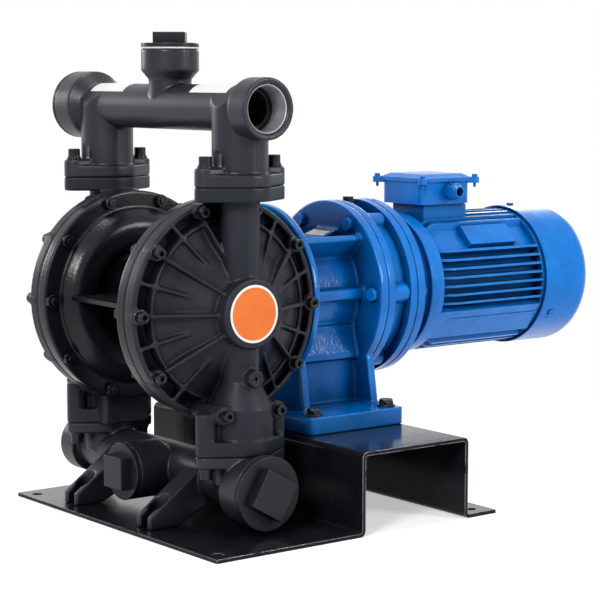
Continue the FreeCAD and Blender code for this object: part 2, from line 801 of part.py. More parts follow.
def outer_cover():
    """The far outer cover."""
    top_z = TOP_PARTING_Z
    top_tube = cyl(TOP_TUBE_R, top_z - AXIS_Z - 20, V(0, LEG_A, AXIS_Z + 20), Z)
    low_tube = cyl(LOW_TUBE_R, AXIS_Z - 20 - BLOCK_TOP_Z, V(0, LEG_A, BLOCK_TOP_Z), Z)
    solids = [cover_body(), top_tube, low_tube]
    solids.append(oval_flange(LEG_A, top_z - TOP_FLANGE_T, top_z))
    solids.append(cyl(DRAIN_BOSS_R, DRAIN_BOSS_A - LEG_A, V(0, LEG_A, DRAIN_Z), Y))
    for angle in rim_angles():
        if not is_low(angle):
            base = on_disc(RIM_BOLT_PCR, angle, POCKET_FLOOR_A - 1)
            solids.append(cyl(RIM_BOSS_R - 1, RIM_BOSS_A - base.y, base, Y))
    body = valve_block().multiFuse(solids + cover_ribs())
    voids = [cover_cavity(), rim_holes(PARTING_A, LONG_BOSS_A + 1)]
    voids.append(cyl(TUBE_BORE_R, top_z - AXIS_Z - 24, V(0, LEG_A, AXIS_Z + 25), Z))
    voids.append(cyl(TUBE_BORE_R, AXIS_Z - 25 - LOW_PARTING_Z - SEAT_T,
                     V(0, LEG_A, LOW_PARTING_Z + SEAT_T), Z))
    voids.append(cyl(SEAT_OUT_R + SEAT_FIT, SEAT_T, V(0, LEG_A, top_z - SEAT_T), Z))
    voids.append(cyl(SEAT_OUT_R + SEAT_FIT, SEAT_T, V(0, LEG_A, LOW_PARTING_Z), Z))
    voids.append(flange_threads(top_z - TOP_FLANGE_T + 2, TOP_FLANGE_T))
    voids.append(flange_threads(LOW_PARTING_Z - 1, BOLT_BITE + 1))
    voids.append(cyl(DRAIN_PLUG_R + SEAT_FIT, 26, V(0, DRAIN_BOSS_A - 26, DRAIN_Z), Y))
    voids.append(valve_cage(LOW_PARTING_Z + SEAT_T))
    voids += washer_seats()
    for void in voids:
        body = body.cut(void)
    return body


def washer_seats():
    """Flats cut round the rim bolts, so that each washer lies on its boss."""
    return [cyl(RIM_WASHER_R + BOLT_FIT, RIM_HEAD_H + 3,
                on_disc(RIM_BOLT_PCR, angle, rim_bolt_head_a(angle)), Y)
            for angle in rim_angles()]


def ball_rest_z(seat_top_z):
    """Centre height of a ball that rests on the rim of its seat, a loose fit above it."""
    touch = BALL_R + LOOSE_FIT
    return seat_top_z + math.sqrt(touch ** 2 - SEAT_BORE_R ** 2)


def valve_cage(seat_top_z):
    """The room a ball moves in: a bore less its guide ribs, which also stop the ball."""
    rest = ball_rest_z(seat_top_z)
    stop = rest + BALL_LIFT + LOOSE_FIT
    top = rest + BALL_LIFT + BALL_R + 6
    room = cyl(CAGE_BORE_R, top - seat_top_z, V(0, LEG_A, seat_top_z), Z)
    for i in range(CAGE_RIBS):
        guide_r = BALL_R + LOOSE_FIT
        guide = box(guide_r, CAGE_BORE_R + 1, -CAGE_RIB_W / 2, CAGE_RIB_W / 2, seat_top_z, top)
        end = box(CAGE_STOP_R, CAGE_BORE_R + 1, -CAGE_RIB_W / 2, CAGE_RIB_W / 2, stop, top)
        end = end.cut(Part.makeSphere(BALL_R + LOOSE_FIT, V(0, 0, rest + BALL_LIFT)))
        bar = guide.fuse(end)
        bar.rotate(V(0, 0, 0), Z, 90 + i * 360 / CAGE_RIBS)
        bar.translate(V(0, LEG_A, 0))
        room = room.cut(bar)
    return room


def valve_seat(z0):
    """The ring a far valve ball rests on."""
    return ring(SEAT_OUT_R, SEAT_BORE_R, SEAT_T, V(0, LEG_A, z0), Z)


def ball(seat_top_z):
    """A far valve ball on its seat."""
    return Part.makeSphere(BALL_R, V(0, LEG_A, ball_rest_z(seat_top_z)))


def elbow(y):
    """A leg up to the discharge pipe, its top shaped to the pipe's crest."""
    z0 = TOP_PARTING_Z
    slope = math.radians(ELBOW_SLOPE)
    apex = TOP_PIPE_Z + TOP_PIPE_R / math.cos(slope)
    shoulder = apex - LEG_R * math.tan(slope)
    start = y - LEG_R
    profile = [
        (-LEG_R, z0, 0),
        (-LEG_R, shoulder, 12),
        (0, apex, TOP_PIPE_R),
        (LEG_R, shoulder, 12),
        (LEG_R, z0, 0),
    ]
    hood = outline([(V(x, start, z), r) for x, z, r in profile]).extrude(Y * (2 * LEG_R))
    return hood.common(cyl(LEG_R, apex - z0, V(0, y, z0), Z))


def discharge_manifold():
    """Pipe along Y, two legs with bolted flanges, a port at each end and a top boss."""
    z0 = TOP_PARTING_Z
    z_axis = TOP_PIPE_Z
    solids = [cyl(TOP_PIPE_R, PORT_FAR_BACK_Y - PORT_NEAR_BACK_Y,
                  V(0, PORT_NEAR_BACK_Y, z_axis), Y)]
    solids.append(cyl(PORT_NEAR_R, PORT_NEAR_BACK_Y - PORT_NEAR_Y, V(0, PORT_NEAR_Y, z_axis), Y))
    solids.append(cone(PORT_NEAR_R, TOP_PIPE_R, 10, V(0, PORT_NEAR_BACK_Y, z_axis), Y))
    solids.append(cyl(PORT_FAR_R, PORT_FAR_Y - PORT_FAR_BACK_Y, V(0, PORT_FAR_BACK_Y, z_axis), Y))
    solids.append(cone(TOP_PIPE_R, PORT_FAR_R, 14, V(0, PORT_FAR_BACK_Y - 14, z_axis), Y))
    pad_z = z0 + MANIFOLD_FLANGE_T
    for side in (-1, 1):
        y = side * LEG_A
        solids.append(elbow(y))
        solids.append(oval_flange(y, z0, pad_z))
        for edge in (-1, 1):
            base = V(edge * FLANGE_BOLT_X, y, z0)
            solids.append(cyl(FLANGE_LOBE_R, MANIFOLD_FLANGE_T + BOLT_PAD_T, base, Z))
            x0 = min(edge * FLANGE_BOLT_X, edge * LEG_R * 0.9)
            x1 = max(edge * FLANGE_BOLT_X, edge * LEG_R * 0.9)
            solids.append(box(x0, x1, y - FLANGE_LOBE_R, y + FLANGE_LOBE_R,
                              z0, pad_z + BOLT_PAD_T))
    solids.append(cyl(TOP_NECK_R, TOP_BOSS_CONE_Z - z_axis, V(0, 0, z_axis), Z))
    solids.append(cone(TOP_NECK_R, TOP_BOSS_R, TOP_BOSS_LOW_Z - TOP_BOSS_CONE_Z,
                       V(0, 0, TOP_BOSS_CONE_Z), Z))
    solids.append(cyl(TOP_BOSS_R, TOP_BOSS_Z - TOP_BOSS_LOW_Z, V(0, 0, TOP_BOSS_LOW_Z), Z))
    body = fuse(solids)
    notch_z = pad_z + BOLT_PAD_T
    for side in (-1, 1):
        y = side * LEG_A
        body = body.cut(flange_holes(y, z0 - 1, notch_z + 1))
        for edge in (-1, 1):
            base = V(edge * FLANGE_BOLT_X, y, notch_z)
            body = body.cut(cyl(TOOL_NOTCH_R, 20, base, Z))
    bore_l = PORT_FAR_Y - PORT_NEAR_Y
    body = body.cut(cyl(TOP_PIPE_BORE_R, bore_l + 2, V(0, PORT_NEAR_Y - 1, z_axis), Y))
    body = body.cut(cyl(PORT_THREAD_R, PORT_THREAD_L, V(0, PORT_NEAR_Y, z_axis), Y))
    body = body.cut(cone(PORT_THREAD_R + PORT_CHAMFER, PORT_THREAD_R, PORT_CHAMFER,
                         V(0, PORT_NEAR_Y, z_axis), Y))
    body = body.cut(cyl(PORT_THREAD_R, PORT_THREAD_L, V(0, PORT_FAR_Y, z_axis), Y * -1))
    body = body.cut(cyl(TOP_BOSS_BORE_R, PLUG_STEM_L + 4, V(0, 0, TOP_BOSS_Z), Z * -1))
    body = body.cut(cyl(TOP_PIPE_BORE_R, TOP_BOSS_Z - z_axis, V(0, 0, z_axis), Z))
    for cage in (valve_cage(z0), mirrored(valve_cage(z0))):
        y = cage.BoundBox.Center.y
        top = cage.BoundBox.ZMax
        body = body.cut(cage)
        body = body.cut(cyl(TUBE_BORE_R, z_axis - top + 1, V(0, y, top - 1), Z))
    return body


def plug(hole_r, flange_r, head_sq, base, axis, turn):
    """A pipe plug: hollow stem into the boss, flange against its face, square head."""
    stem = ring(hole_r - SEAT_FIT, hole_r - 5, PLUG_STEM_L, base, axis * -1)
    flange = cyl(flange_r, PLUG_FLANGE_T, base, axis)
    rim = [e for e in flange.Edges
           if e.Closed and abs((e.CenterOfMass - base).dot(axis) - PLUG_FLANGE_T) < 1e-3]
    flange = flange.makeFillet(1.2, rim)
    head_at = base + axis * (PLUG_FLANGE_T - 1)
    head = rounded_prism(head_sq, PLUG_HEAD_H + 1, head_at, axis, turn, 1.2)
    return fuse([flange, head, stem])


def suction_manifold():
    """Pipe along Y, two legs up to the chambers, a plugged end, a plugged side and feet."""
    z1 = LOW_PARTING_Z
    z_axis = LOW_PIPE_Z
    solids = [cyl(LOW_PIPE_R, CAP_Y - 20 - LOW_NEAR_BACK_Y, V(0, LOW_NEAR_BACK_Y, z_axis), Y)]
    cap = cyl(CAP_R, CAP_L, V(0, CAP_Y - CAP_L, z_axis), Y)
    cap_rim = [e for e in cap.Edges if e.Closed and abs(e.CenterOfMass.y - CAP_Y) < 1e-3]
    solids.append(cap.makeFillet(6, cap_rim))
    near = V(0, LOW_NEAR_Y, LOW_NEAR_Z)
    solids.append(cyl(LOW_NEAR_R, LOW_NEAR_BACK_Y - LOW_NEAR_Y, near, Y))
    solids.append(cone(LOW_NEAR_R, LOW_PIPE_R - 4, 16, V(0, LOW_NEAR_BACK_Y, LOW_NEAR_Z), Y))
    solids.append(cyl(SIDE_BOSS_R, SIDE_BACK_X - SIDE_BOSS_X, V(SIDE_BOSS_X, 0, z_axis), X))
    solids.append(cone(SIDE_BOSS_R, LOW_PIPE_R - 3, 12, V(SIDE_BACK_X, 0, z_axis), X))
    for side in (-1, 1):
        y = side * LEG_A
        solids.append(cyl(LEG_R, z1 - z_axis, V(0, y, z_axis), Z))
        solids.append(oval_flange(y, z1 - LOW_FLANGE_LOBE_T, z1))
        solids.append(pump_foot(side * FOOT_Y))
    reach = LEG_A + FLANGE_R + 1
    body = fuse(solids).cut(box(-RIM_R, RIM_R, -reach, reach, z1, AXIS_Z))
    for side in (-1, 1):
        y = side * LEG_A
        body = body.cut(flange_holes(y, z1 - LOW_FLANGE_LOBE_T - 1, z1 + 1))
        for edge in (-1, 1):
            base = V(edge * FLANGE_BOLT_X, y, z1 - LOW_FLANGE_LOBE_T)
            body = body.cut(cyl(FLANGE_WASHER_R + 3, 30, base, Z * -1))
        body = body.cut(cyl(TUBE_BORE_R, z1 - z_axis + 1, V(0, y, z_axis), Z))
    bore_l = CAP_Y - 12 - LOW_NEAR_Y
    body = body.cut(cyl(LOW_PIPE_BORE_R, bore_l + 1, V(0, LOW_NEAR_Y - 1, z_axis), Y))
    body = body.cut(cyl(LOW_NEAR_BORE_R, PLUG_STEM_L + 8, near, Y))
    return body.cut(cyl(SIDE_BORE_R, -SIDE_BOSS_X, V(SIDE_BOSS_X, 0, z_axis), X))


def pump_foot(y):
    """A sloping arm to the base plate, with an open slot and a scoop for a bolt's head."""
    z0 = PLATE_T
    corners = [
        (FOOT_END_X, z0, 0),
        (FOOT_END_X + 40, z0, 12),
        (0, LOW_PIPE_Z - LOW_PIPE_R + 6, 0),
        (0, FOOT_ROOT_Z, 0),
        (FOOT_ROOT_X, FOOT_ROOT_Z, 8),
        (FOOT_END_X, z0 + FOOT_TOE_H, 2),
    ]
    face = outline([(V(x, y - FOOT_W / 2, z), r) for x, z, r in corners])
    arm = face.extrude(Y * FOOT_W)
    slot = box(FOOT_END_X - 1, FOOT_SLOT_X, y - FOOT_SLOT_W / 2, y + FOOT_SLOT_W / 2,
               0, LOW_PIPE_Z)
    slot_end = cyl(FOOT_SLOT_W / 2, LOW_PIPE_Z, V(FOOT_SLOT_X, y, 0), Z)
    scoop = cyl(FOOT_SCOOP_R, LOW_PIPE_Z, V(FOOT_SLOT_X, y, FOOT_SCOOP_Z), Z)
    return arm.cut(slot).cut(slot_end).cut(scoop)


def crankcase():
    """A cross of two barrels, one between the casings and one along the drive axis."""
    face = CASING_FACE_A
    end_x = FLANGE_1_X
    drum = cyl(CRANK_R, 2 * face, V(0, -face, AXIS_Z), Y)
    barrel = cyl(CRANK_R, end_x - CRANK_FRONT_X, V(CRANK_FRONT_X, 0, AXIS_Z), X)
    nose = [e for e in barrel.Edges if e.Closed and e.CenterOfMass.x < CRANK_FRONT_X + 1]
    barrel = barrel.makeFillet(5, nose)
    flange = cyl(CRANK_FLANGE_R, CRANK_FLANGE_T, V(end_x - CRANK_FLANGE_T, 0, AXIS_Z), X)
    web = box(TIE_WEB_X, 0, -face, face, TIE_WEB_LOW_Z, TIE_WEB_LOW_Z + TIE_WEB_T)
    knobs = []
    for side in (-1, 1):
        base = V(TIE_WEB_X + TIE_KNOB_R, side * (face - TIE_KNOB_R), TIE_WEB_LOW_Z - 1)
        knobs.append(cyl(TIE_KNOB_R, TIE_WEB_T + 2, base, Z))
    room = casing_room()
    body = fuse([drum, barrel, flange, web] + knobs).cut(room).cut(mirrored(room))
    body = body.cut(cyl(CRANK_CAVITY_R, 2 * face + 2, V(0, -face - 1, AXIS_Z), Y))
    inside_x = CRANK_FRONT_X + CRANK_END_T
    body = body.cut(cyl(CRANK_BORE_R, end_x - inside_x + 1, V(inside_x, 0, AXIS_Z), X))
    for base in coupling_places(end_x - CRANK_FLANGE_T - 1):
        body = body.cut(cyl(COUPLING_BOLT_R + BOLT_FIT, CRANK_FLANGE_T + 2, base, X))
    for base in casing_screw_places(face - 13):
        hole = cyl(CASING_SCREW_R + SEAT_FIT, 14, base, Y)
        body = body.cut(hole).cut(mirrored(hole))
    return body


def coupling_places(x):
    """Where the bolts from the crankcase to the reducer cross a plane."""
    step = 360 / COUPLING_BOLTS
    return [on_drive(COUPLING_PCR, step * (i + 0.5), x) for i in range(COUPLING_BOLTS)]


def coupling_bolts():
    """Socket screws that hold the crankcase to the reducer's output flange."""
    length = CRANK_FLANGE_T + FLANGE_1_T - 2
    return [socket_bolt(RIM_HEAD_R, RIM_HEAD_H, COUPLING_BOLT_R, length, base, X * -1)
            for base in coupling_places(FLANGE_1_X - CRANK_FLANGE_T)]


def plunger():
    """A yoke round the eccentric's bearing with a rod and a threaded stud at each end."""
    half_y = ROLLER_RING_R + 2 * STROKE + LOOSE_FIT
    half_z = ROLLER_RING_R + STROKE + LOOSE_FIT
    out_y = half_y + YOKE_WALL_Y
    out_z = half_z + YOKE_WALL_Z
    frame = box(-YOKE_X, YOKE_X, -out_y, out_y, AXIS_Z - out_z, AXIS_Z + out_z)
    frame = frame.common(cyl(CRANK_CAVITY_R - 2, 2 * out_y, V(0, -out_y, AXIS_Z), Y))
    window = box(-YOKE_X - 1, YOKE_X + 1, -half_y, half_y, AXIS_Z - half_z, AXIS_Z + half_z)
    body = frame.cut(window)
    end = stud_end_a()
    for side in (-1, 1):
        out = Y * side
        rod = cyl(ROD_R, SHOULDER_A - out_y + 1, V(0, side * (out_y - 1), AXIS_Z), out)
        stud = cyl(STUD_R, end - SHOULDER_A, V(0, side * SHOULDER_A, AXIS_Z), out)
        body = body.fuse(rod).fuse(stud)
    return body.removeSplitter()


def soft_low_a():
    """Inner face of the diaphragm's middle."""
    return PARTING_A - SOFT_T / 2


def stud_end_a():
    """How far out the plunger's stud reaches."""
    return soft_low_a() + SOFT_T + PLATE_DISC_T + ROD_NUT_H + 2


def inner_plate():
    """The backing plate on the rod's side of the far diaphragm."""
    low = SHOULDER_A
    high = soft_low_a()
    return turned([
        (STUD_R + SEAT_FIT, low),
        (ROD_R + 10, low, 4.0),
        (INNER_PLATE_R, high - PLATE_DISC_T * 0.6, 3.0),
        (INNER_PLATE_R, high),
        (STUD_R + SEAT_FIT, high),
    ])


def outer_plate():
    """The plate on the liquid side of the far diaphragm."""
    low = soft_low_a() + SOFT_T
    return turned([
        (STUD_R + SEAT_FIT, low),
        (OUTER_PLATE_R, low),
        (OUTER_PLATE_R, low + PLATE_DISC_T, 4.0),
        (STUD_R + SEAT_FIT, low + PLATE_DISC_T),
    ])


def rod_nut():
    """The nut on the far end of the plunger's stud."""
    base = V(0, soft_low_a() + SOFT_T + PLATE_DISC_T, AXIS_Z)
    return nut(ROD_NUT_AF, ROD_NUT_H, STUD_R + SEAT_FIT, base, Y)


def diaphragm():
    """The far rubber disc: clamped rim, one ring rolled inwards and a flat middle."""
    low = soft_low_a()
    high = low + SOFT_T
    edge_low = PARTING_A - DIAPHRAGM_T / 2
    edge_high = edge_low + DIAPHRAGM_T
    crown = low - ROLL_RISE
    lean = 3.0
    disc = turned([
        (STUD_R + SEAT_FIT, low),
        (ROLL_IN_R - SOFT_T, low, 2.0),
        (ROLL_IN_R - SOFT_T + lean, crown, 8.0),
        (ROLL_OUT_R + SOFT_T - lean, crown, 8.0),
        (ROLL_OUT_R + SOFT_T, edge_low, 2.0),
        (RIM_R - 1, edge_low),
        (RIM_R - 1, edge_high),
        (ROLL_OUT_R, edge_high, 3.0),
        (ROLL_OUT_R - lean, crown + SOFT_T, 5.0),
        (ROLL_IN_R + lean, crown + SOFT_T, 5.0),
        (ROLL_IN_R, high, 3.0),
        (STUD_R + SEAT_FIT, high),
    ])
    return disc.cut(rim_holes(edge_low - 1, edge_high + 1))


def rod_bush():
    """The bush that guides the far rod."""
    return ring(ROD_R + BUSH_WALL, ROD_R + RUN_FIT, BUSH_L, V(0, GUIDE_BOSS_A, AXIS_Z), Y)


def rod_seal():
    """The lip seal outside the far bush."""
    base = V(0, GUIDE_BOSS_A + BUSH_L, AXIS_Z)
    return ring(ROD_R + BUSH_WALL, ROD_R + RUN_FIT, SEAL_RING_W, base, Y)


def rim_bolt_head_a(angle):
    """Distance out of a rim bolt's seat."""
    return LONG_BOSS_A if is_low(angle) else RIM_BOSS_A


def rim_bolts():
    """The far cover's bolts."""
    bolts = []
    for angle in rim_angles():
        seat_a = rim_bolt_head_a(angle) + RIM_WASHER_T
        length = seat_a - RIM_IN_A + RIM_NUT_H + 3
        bolts.append(socket_bolt(RIM_HEAD_R, RIM_HEAD_H, RIM_BOLT_R, length,
                                 on_disc(RIM_BOLT_PCR, angle, seat_a), Y))
    return bolts


def rim_washers():
    """A washer under each far bolt's head."""
    washers = []
    for angle in rim_angles():
        base = on_disc(RIM_BOLT_PCR, angle, rim_bolt_head_a(angle))
        washers.append(ring(RIM_WASHER_R, RIM_BOLT_R + SEAT_FIT, RIM_WASHER_T, base, Y))
    return washers


def rim_nuts():
    """The nuts on the inner face of the far inner casing."""
    nuts = []
    for angle in rim_angles():
        base = on_disc(RIM_BOLT_PCR, angle, RIM_IN_A)
        nuts.append(nut(RIM_NUT_AF, RIM_NUT_H, RIM_BOLT_R + SEAT_FIT, base, Y * -1))
    return nuts


def flange_bolt_places():
    """The four bolt axes of the manifolds' flanges."""
    places = []
    for y in (-LEG_A, LEG_A):
        for x in (-FLANGE_BOLT_X, FLANGE_BOLT_X):
            places.append(V(x, y, 0))
    return places


def washer_pair(place, z, axis):
    """A flat washer and a spring washer on a bolt."""
    base = V(place.x, place.y, z)
    flat = ring(FLANGE_WASHER_R, FLANGE_BOLT_R + SEAT_FIT, FLANGE_WASHER_T, base, axis)
    base = base + axis * FLANGE_WASHER_T
    spring = ring(SPRING_WASHER_R, FLANGE_BOLT_R + SEAT_FIT, SPRING_WASHER_T, base, axis)
    return [flat, spring]


def discharge_bolts():
    """Bolts and washers of the discharge manifold."""
    pad_z = TOP_PARTING_Z + MANIFOLD_FLANGE_T + BOLT_PAD_T
    head_z = pad_z + FLANGE_WASHER_T + SPRING_WASHER_T
    length = head_z - TOP_PARTING_Z + TOP_FLANGE_T - 3
    pieces = []
    for place in flange_bolt_places():
        pieces.append(socket_bolt(FLANGE_HEAD_R, FLANGE_HEAD_H, FLANGE_BOLT_R, length,
                                  V(place.x, place.y, head_z), Z))
        pieces += washer_pair(place, pad_z, Z)
    return pieces


def suction_bolts():
    """Bolts and washers of the suction manifold, their heads below."""
    low_z = LOW_PARTING_Z - LOW_FLANGE_LOBE_T
    head_z = low_z - FLANGE_WASHER_T - SPRING_WASHER_T
    length = LOW_PARTING_Z - head_z + BOLT_BITE - 2
    pieces = []
    for place in flange_bolt_places():
        pieces.append(socket_bolt(FLANGE_HEAD_R, FLANGE_HEAD_H, FLANGE_BOLT_R, length,
                                  V(place.x, place.y, head_z), Z * -1))
        pieces += washer_pair(place, low_z, Z * -1)
    return pieces


def manifold_label(y0, y1):
    """A thin bare label wrapped over the top of the discharge pipe towards -X."""
    inner = TOP_PIPE_R + SEAT_FIT
    skin = ring(inner + LABEL_T, inner, y1 - y0, V(0, y0, TOP_PIPE_Z), Y)
    reach = TOP_PIPE_R * 2
    points = [V(0, y0, TOP_PIPE_Z)]
    for angle in (ELBOW_SLOPE, -LABEL_OVER):
        t = math.radians(angle)
        points.append(points[0] + V(-reach * math.sin(t), 0, reach * math.cos(t)))
    points.append(points[0])
    wedge = Part.Face(Part.makePolygon(points)).extrude(Y * (y1 - y0))
    return skin.common(wedge)


def output_shaft():
    """The reducer's slow shaft, with its carrier disc, pins and the pump's journal."""
    carrier_x = DISC_1_X - LOOSE_FIT - CARRIER_T
    journal = cyl(JOURNAL_R, JOURNAL_FROM_X - JOURNAL_END_X, V(JOURNAL_END_X, 0, AXIS_Z), X)
    shaft = cyl(OUT_SHAFT_R, carrier_x - JOURNAL_FROM_X, V(JOURNAL_FROM_X, 0, AXIS_Z), X)
    carrier = cyl(CARRIER_R, CARRIER_T, V(carrier_x, 0, AXIS_Z), X)
    pins = []
    pin_l = CARRIER_T + 2 * DISC_T + DISC_GAP + 2 * LOOSE_FIT
    for i in range(OUTPUT_PINS):
        base = on_drive(OUTPUT_PIN_PCR, i * 360 / OUTPUT_PINS, carrier_x)
        pins.append(cyl(OUTPUT_PIN_R, pin_l, base, X))
    return fuse([journal, shaft, carrier] + pins)


def eccentric():
    """The eccentric on the journal, its throw upwards at rest."""
    centre = V(-ECCENTRIC_W / 2, 0, AXIS_Z + STROKE)
    disc = cyl(ECCENTRIC_R, ECCENTRIC_W, centre, X)
    return disc.cut(cyl(JOURNAL_R + SEAT_FIT, ECCENTRIC_W + 2,
                        V(-ECCENTRIC_W / 2 - 1, 0, AXIS_Z), X))


def eccentric_bearing():
    """Inner race, rollers and outer race on the eccentric."""
    centre = V(-ECCENTRIC_W / 2, 0, AXIS_Z + STROKE)
    inner_r = ECCENTRIC_R + SEAT_FIT
    race = (ROLLER_RING_R - inner_r) / 3
    inner = ring(inner_r + race, inner_r, ECCENTRIC_W, centre, X)
    outer = ring(ROLLER_RING_R, ROLLER_RING_R - race, ECCENTRIC_W, centre, X)
    rollers = []
    count = 18
    for i in range(count):
        t = 2 * math.pi * i / count
        middle = inner_r + race * 1.5
        base = centre + V(1, middle * math.cos(t), middle * math.sin(t))
        rollers.append(cyl(race / 2 - 0.02, ECCENTRIC_W - 2, base, X))
    return group([inner, outer] + rollers)


def ball_bearing(inner_r, outer_r, width, x):
    """A deep-groove ball bearing about the drive axis."""
    wall = (outer_r - inner_r) * 0.28
    base = V(x, 0, AXIS_Z)
    middle = (inner_r + outer_r) / 2
    ball_r = (outer_r - inner_r) * 0.3
    track = Part.makeTorus(middle, ball_r + 0.02, V(x + width / 2, 0, AXIS_Z), X)
    inner = ring(inner_r + wall, inner_r, width, base, X).cut(track)
    outer = ring(outer_r, outer_r - wall, width, base, X).cut(track)
    count = int(math.pi * middle / (ball_r * 1.35))
    balls = []
    for i in range(count):
        centre = on_drive(middle, i * 360 / count, x + width / 2)
        balls.append(Part.makeSphere(ball_r, centre))
    return [inner, outer] + balls


def reducer_housing():
    """Foot, webs, pedestal, ribbed barrel and two flanges, one casting."""
    x1 = FLANGE_1_X
    x2 = FLANGE_2_X
    flange_1 = cyl(REDUCER_R, FLANGE_1_T, V(x1, 0, AXIS_Z), X)
    flange_2 = cyl(REDUCER_R, FLANGE_2_T, V(x2, 0, AXIS_Z), X)
    barrel = cyl(BARREL_R, x2 - x1, V(x1, 0, AXIS_Z), X)
    foot_top = DECK_Z + REDUCER_FOOT_T
    foot = box(FOOT_X0, FOOT_X1, -REDUCER_FOOT_Y, REDUCER_FOOT_Y, DECK_Z, foot_top)
    uprights = [e for e in foot.Edges if abs(e.tangentAt(0).z) > 0.9]
    foot = foot.makeFillet(8, uprights)
    solids = [flange_1, flange_2, barrel, foot, nameplate_seat()]
    for x in (x1, x2 + FLANGE_2_T - WEB_T):
        points = [V(x, -WEB_LOW_Y, foot_top - 1), V(x, WEB_LOW_Y, foot_top - 1),
                  V(x, WEB_TOP_Y, WEB_TOP_Z), V(x, 60, AXIS_Z), V(x, -60, AXIS_Z),
                  V(x, -WEB_TOP_Y, WEB_TOP_Z)]
        points.append(points[0])
        solids.append(Part.Face(Part.makePolygon(points)).extrude(X * WEB_T))
    solids.append(box(x1, x2 + 1, -PEDESTAL_Y, PEDESTAL_Y, foot_top - 1, PEDESTAL_TOP_Z))
    for side in (-1, 1):
        profile = [
            (side * (PEDESTAL_Y - 2), LEDGE_Z - LEDGE_T, 0),
            (side * LEDGE_Y, LEDGE_Z - LEDGE_T, 2.5),
            (side * LEDGE_Y, LEDGE_Z, 2.5),
            (side * (PEDESTAL_Y - 2), PEDESTAL_TOP_Z - 3, 0),
        ]
        face = outline([(V(x1, y, z), r) for y, z, r in profile])
        solids.append(face.extrude(X * (x2 - x1 + 1)))
    for angle in (45, 135):
        solids.append(barrel_rib(angle, BARREL_RIB_R, BARREL_RIB_W))
    for angle in (0, 180):
        solids.append(barrel_rib(angle, BARREL_SIDE_RIB_R, BARREL_SIDE_RIB_W))
    body = fuse(solids)
    body = body.cut(cyl(OUT_SHAFT_R + 4, x2 - x1 + 40, V(x1 - 1, 0, AXIS_Z), X))
    hollow_x = FRONT_BEARING_X + BEARING_W
    body = body.cut(cyl(BEARING_OD_R + SEAT_FIT, REAR_BEARING_X + BEARING_W - FRONT_BEARING_X,
                        V(FRONT_BEARING_X, 0, AXIS_Z), X))
    seal_at = V(x1 + FLANGE_1_T - OIL_SEAL_W, 0, AXIS_Z)
    body = body.cut(cyl(OUT_SHAFT_R + 9, OIL_SEAL_W, seal_at, X))
    body = body.cut(cyl(BARREL_BORE_R, REAR_BEARING_X - hollow_x - 8,
                        V(hollow_x + 4, 0, AXIS_Z), X))
    body = body.cut(cyl(CARRIER_R + 4, 60, V(REAR_BEARING_X + BEARING_W, 0, AXIS_Z), X))
    holes = []
    for x, y in foot_bolt_places():
        holes.append(cyl(FOOT_BOLT_R + BOLT_FIT, REDUCER_FOOT_T + 2, V(x, y, DECK_Z - 1), Z))
    for base in coupling_places(x1 - 1):
        holes.append(cyl(COUPLING_BOLT_R + SEAT_FIT, FLANGE_1_T, base, X))
    for angle in through_angles(False):
        base = on_drive(THROUGH_PCR, angle, x2 - 1)
        holes.append(cyl(THROUGH_R + BOLT_FIT, FLANGE_2_T + 2, base, X))
    for angle in through_angles(True):
        base = on_drive(THROUGH_PCR, angle, x2 + 2)
        holes.append(cyl(THROUGH_R + SEAT_FIT, FLANGE_2_T, base, X))
    return body.cut(group(holes))


def through_angles(low):
    """Angles of the long bolts: the two low ones beside the pedestal, or the others."""
    step = 360 / THROUGH_BOLTS
    return [i * step for i in range(THROUGH_BOLTS) if (abs(i * step - 270) < step) == low]


def barrel_rib(angle, radius, width):
    """A rib along the reducer's barrel."""
    length = FLANGE_2_X - FLANGE_1_X + 1
    plate = box(FLANGE_1_X, FLANGE_1_X + length, BARREL_R - 6, radius,
                -width / 2, width / 2)
    edges = [e for e in plate.Edges
             if abs(e.tangentAt(0).x) > 0.9 and e.CenterOfMass.y > radius - 1]
    plate = plate.makeFillet(width * 0.3, edges)
    plate.translate(V(0, 0, AXIS_Z))
    plate.rotate(V(0, 0, AXIS_Z), X, angle)
    return plate


def pin_housing():
    """The ring round the cycloid discs, with a lobe for each through bolt."""
    x0 = FLANGE_2_X + FLANGE_2_T
    x1 = PIN_HOUSING_X1
    rim = cyl(REDUCER_R, PIN_HOUSING_RIM_T, V(x0, 0, AXIS_Z), X)
    drum = cyl(LOBE_RING_R, x1 - x0, V(x0, 0, AXIS_Z), X)
    solids = [rim, drum]
    for i in range(THROUGH_BOLTS):
        base = on_drive(THROUGH_PCR, i * 360 / THROUGH_BOLTS, x0)
        solids.append(cyl(THROUGH_LOBE_R, x1 - x0, base, X))
    boss_top = AXIS_Z + LOBE_RING_R + 9
    solids.append(cyl(9, 18, V(OIL_PLUG_X, 0, boss_top - 18), Z))
    body = fuse(solids)
    inner = PIN_CIRCLE_R + RING_PIN_R * 0.5
    body = body.cut(cyl(inner, x1 - x0 + 2, V(x0 - 1, 0, AXIS_Z), X))
    pockets = []
    for i in range(LOBES + 1):
        base = on_drive(PIN_CIRCLE_R, i * 360 / (LOBES + 1), x0 - 1)
        pockets.append(cyl(RING_PIN_R + SEAT_FIT, x1 - x0 + 2, base, X))
    for i in range(THROUGH_BOLTS):
        base = on_drive(THROUGH_PCR, i * 360 / THROUGH_BOLTS, x0 - 1)
        pockets.append(cyl(THROUGH_R + BOLT_FIT, x1 - x0 + 2, base, X))
    return body.cut(group(pockets))


def ring_pins():
    """The fixed pins that the cycloid discs roll round."""
    pins = []
    x0 = FLANGE_2_X + FLANGE_2_T
    for i in range(LOBES + 1):
        base = on_drive(PIN_CIRCLE_R, i * 360 / (LOBES + 1), x0 + 0.5)
        pins.append(cyl(RING_PIN_R, PIN_HOUSING_X1 - x0 - 1, base, X))
    return pins


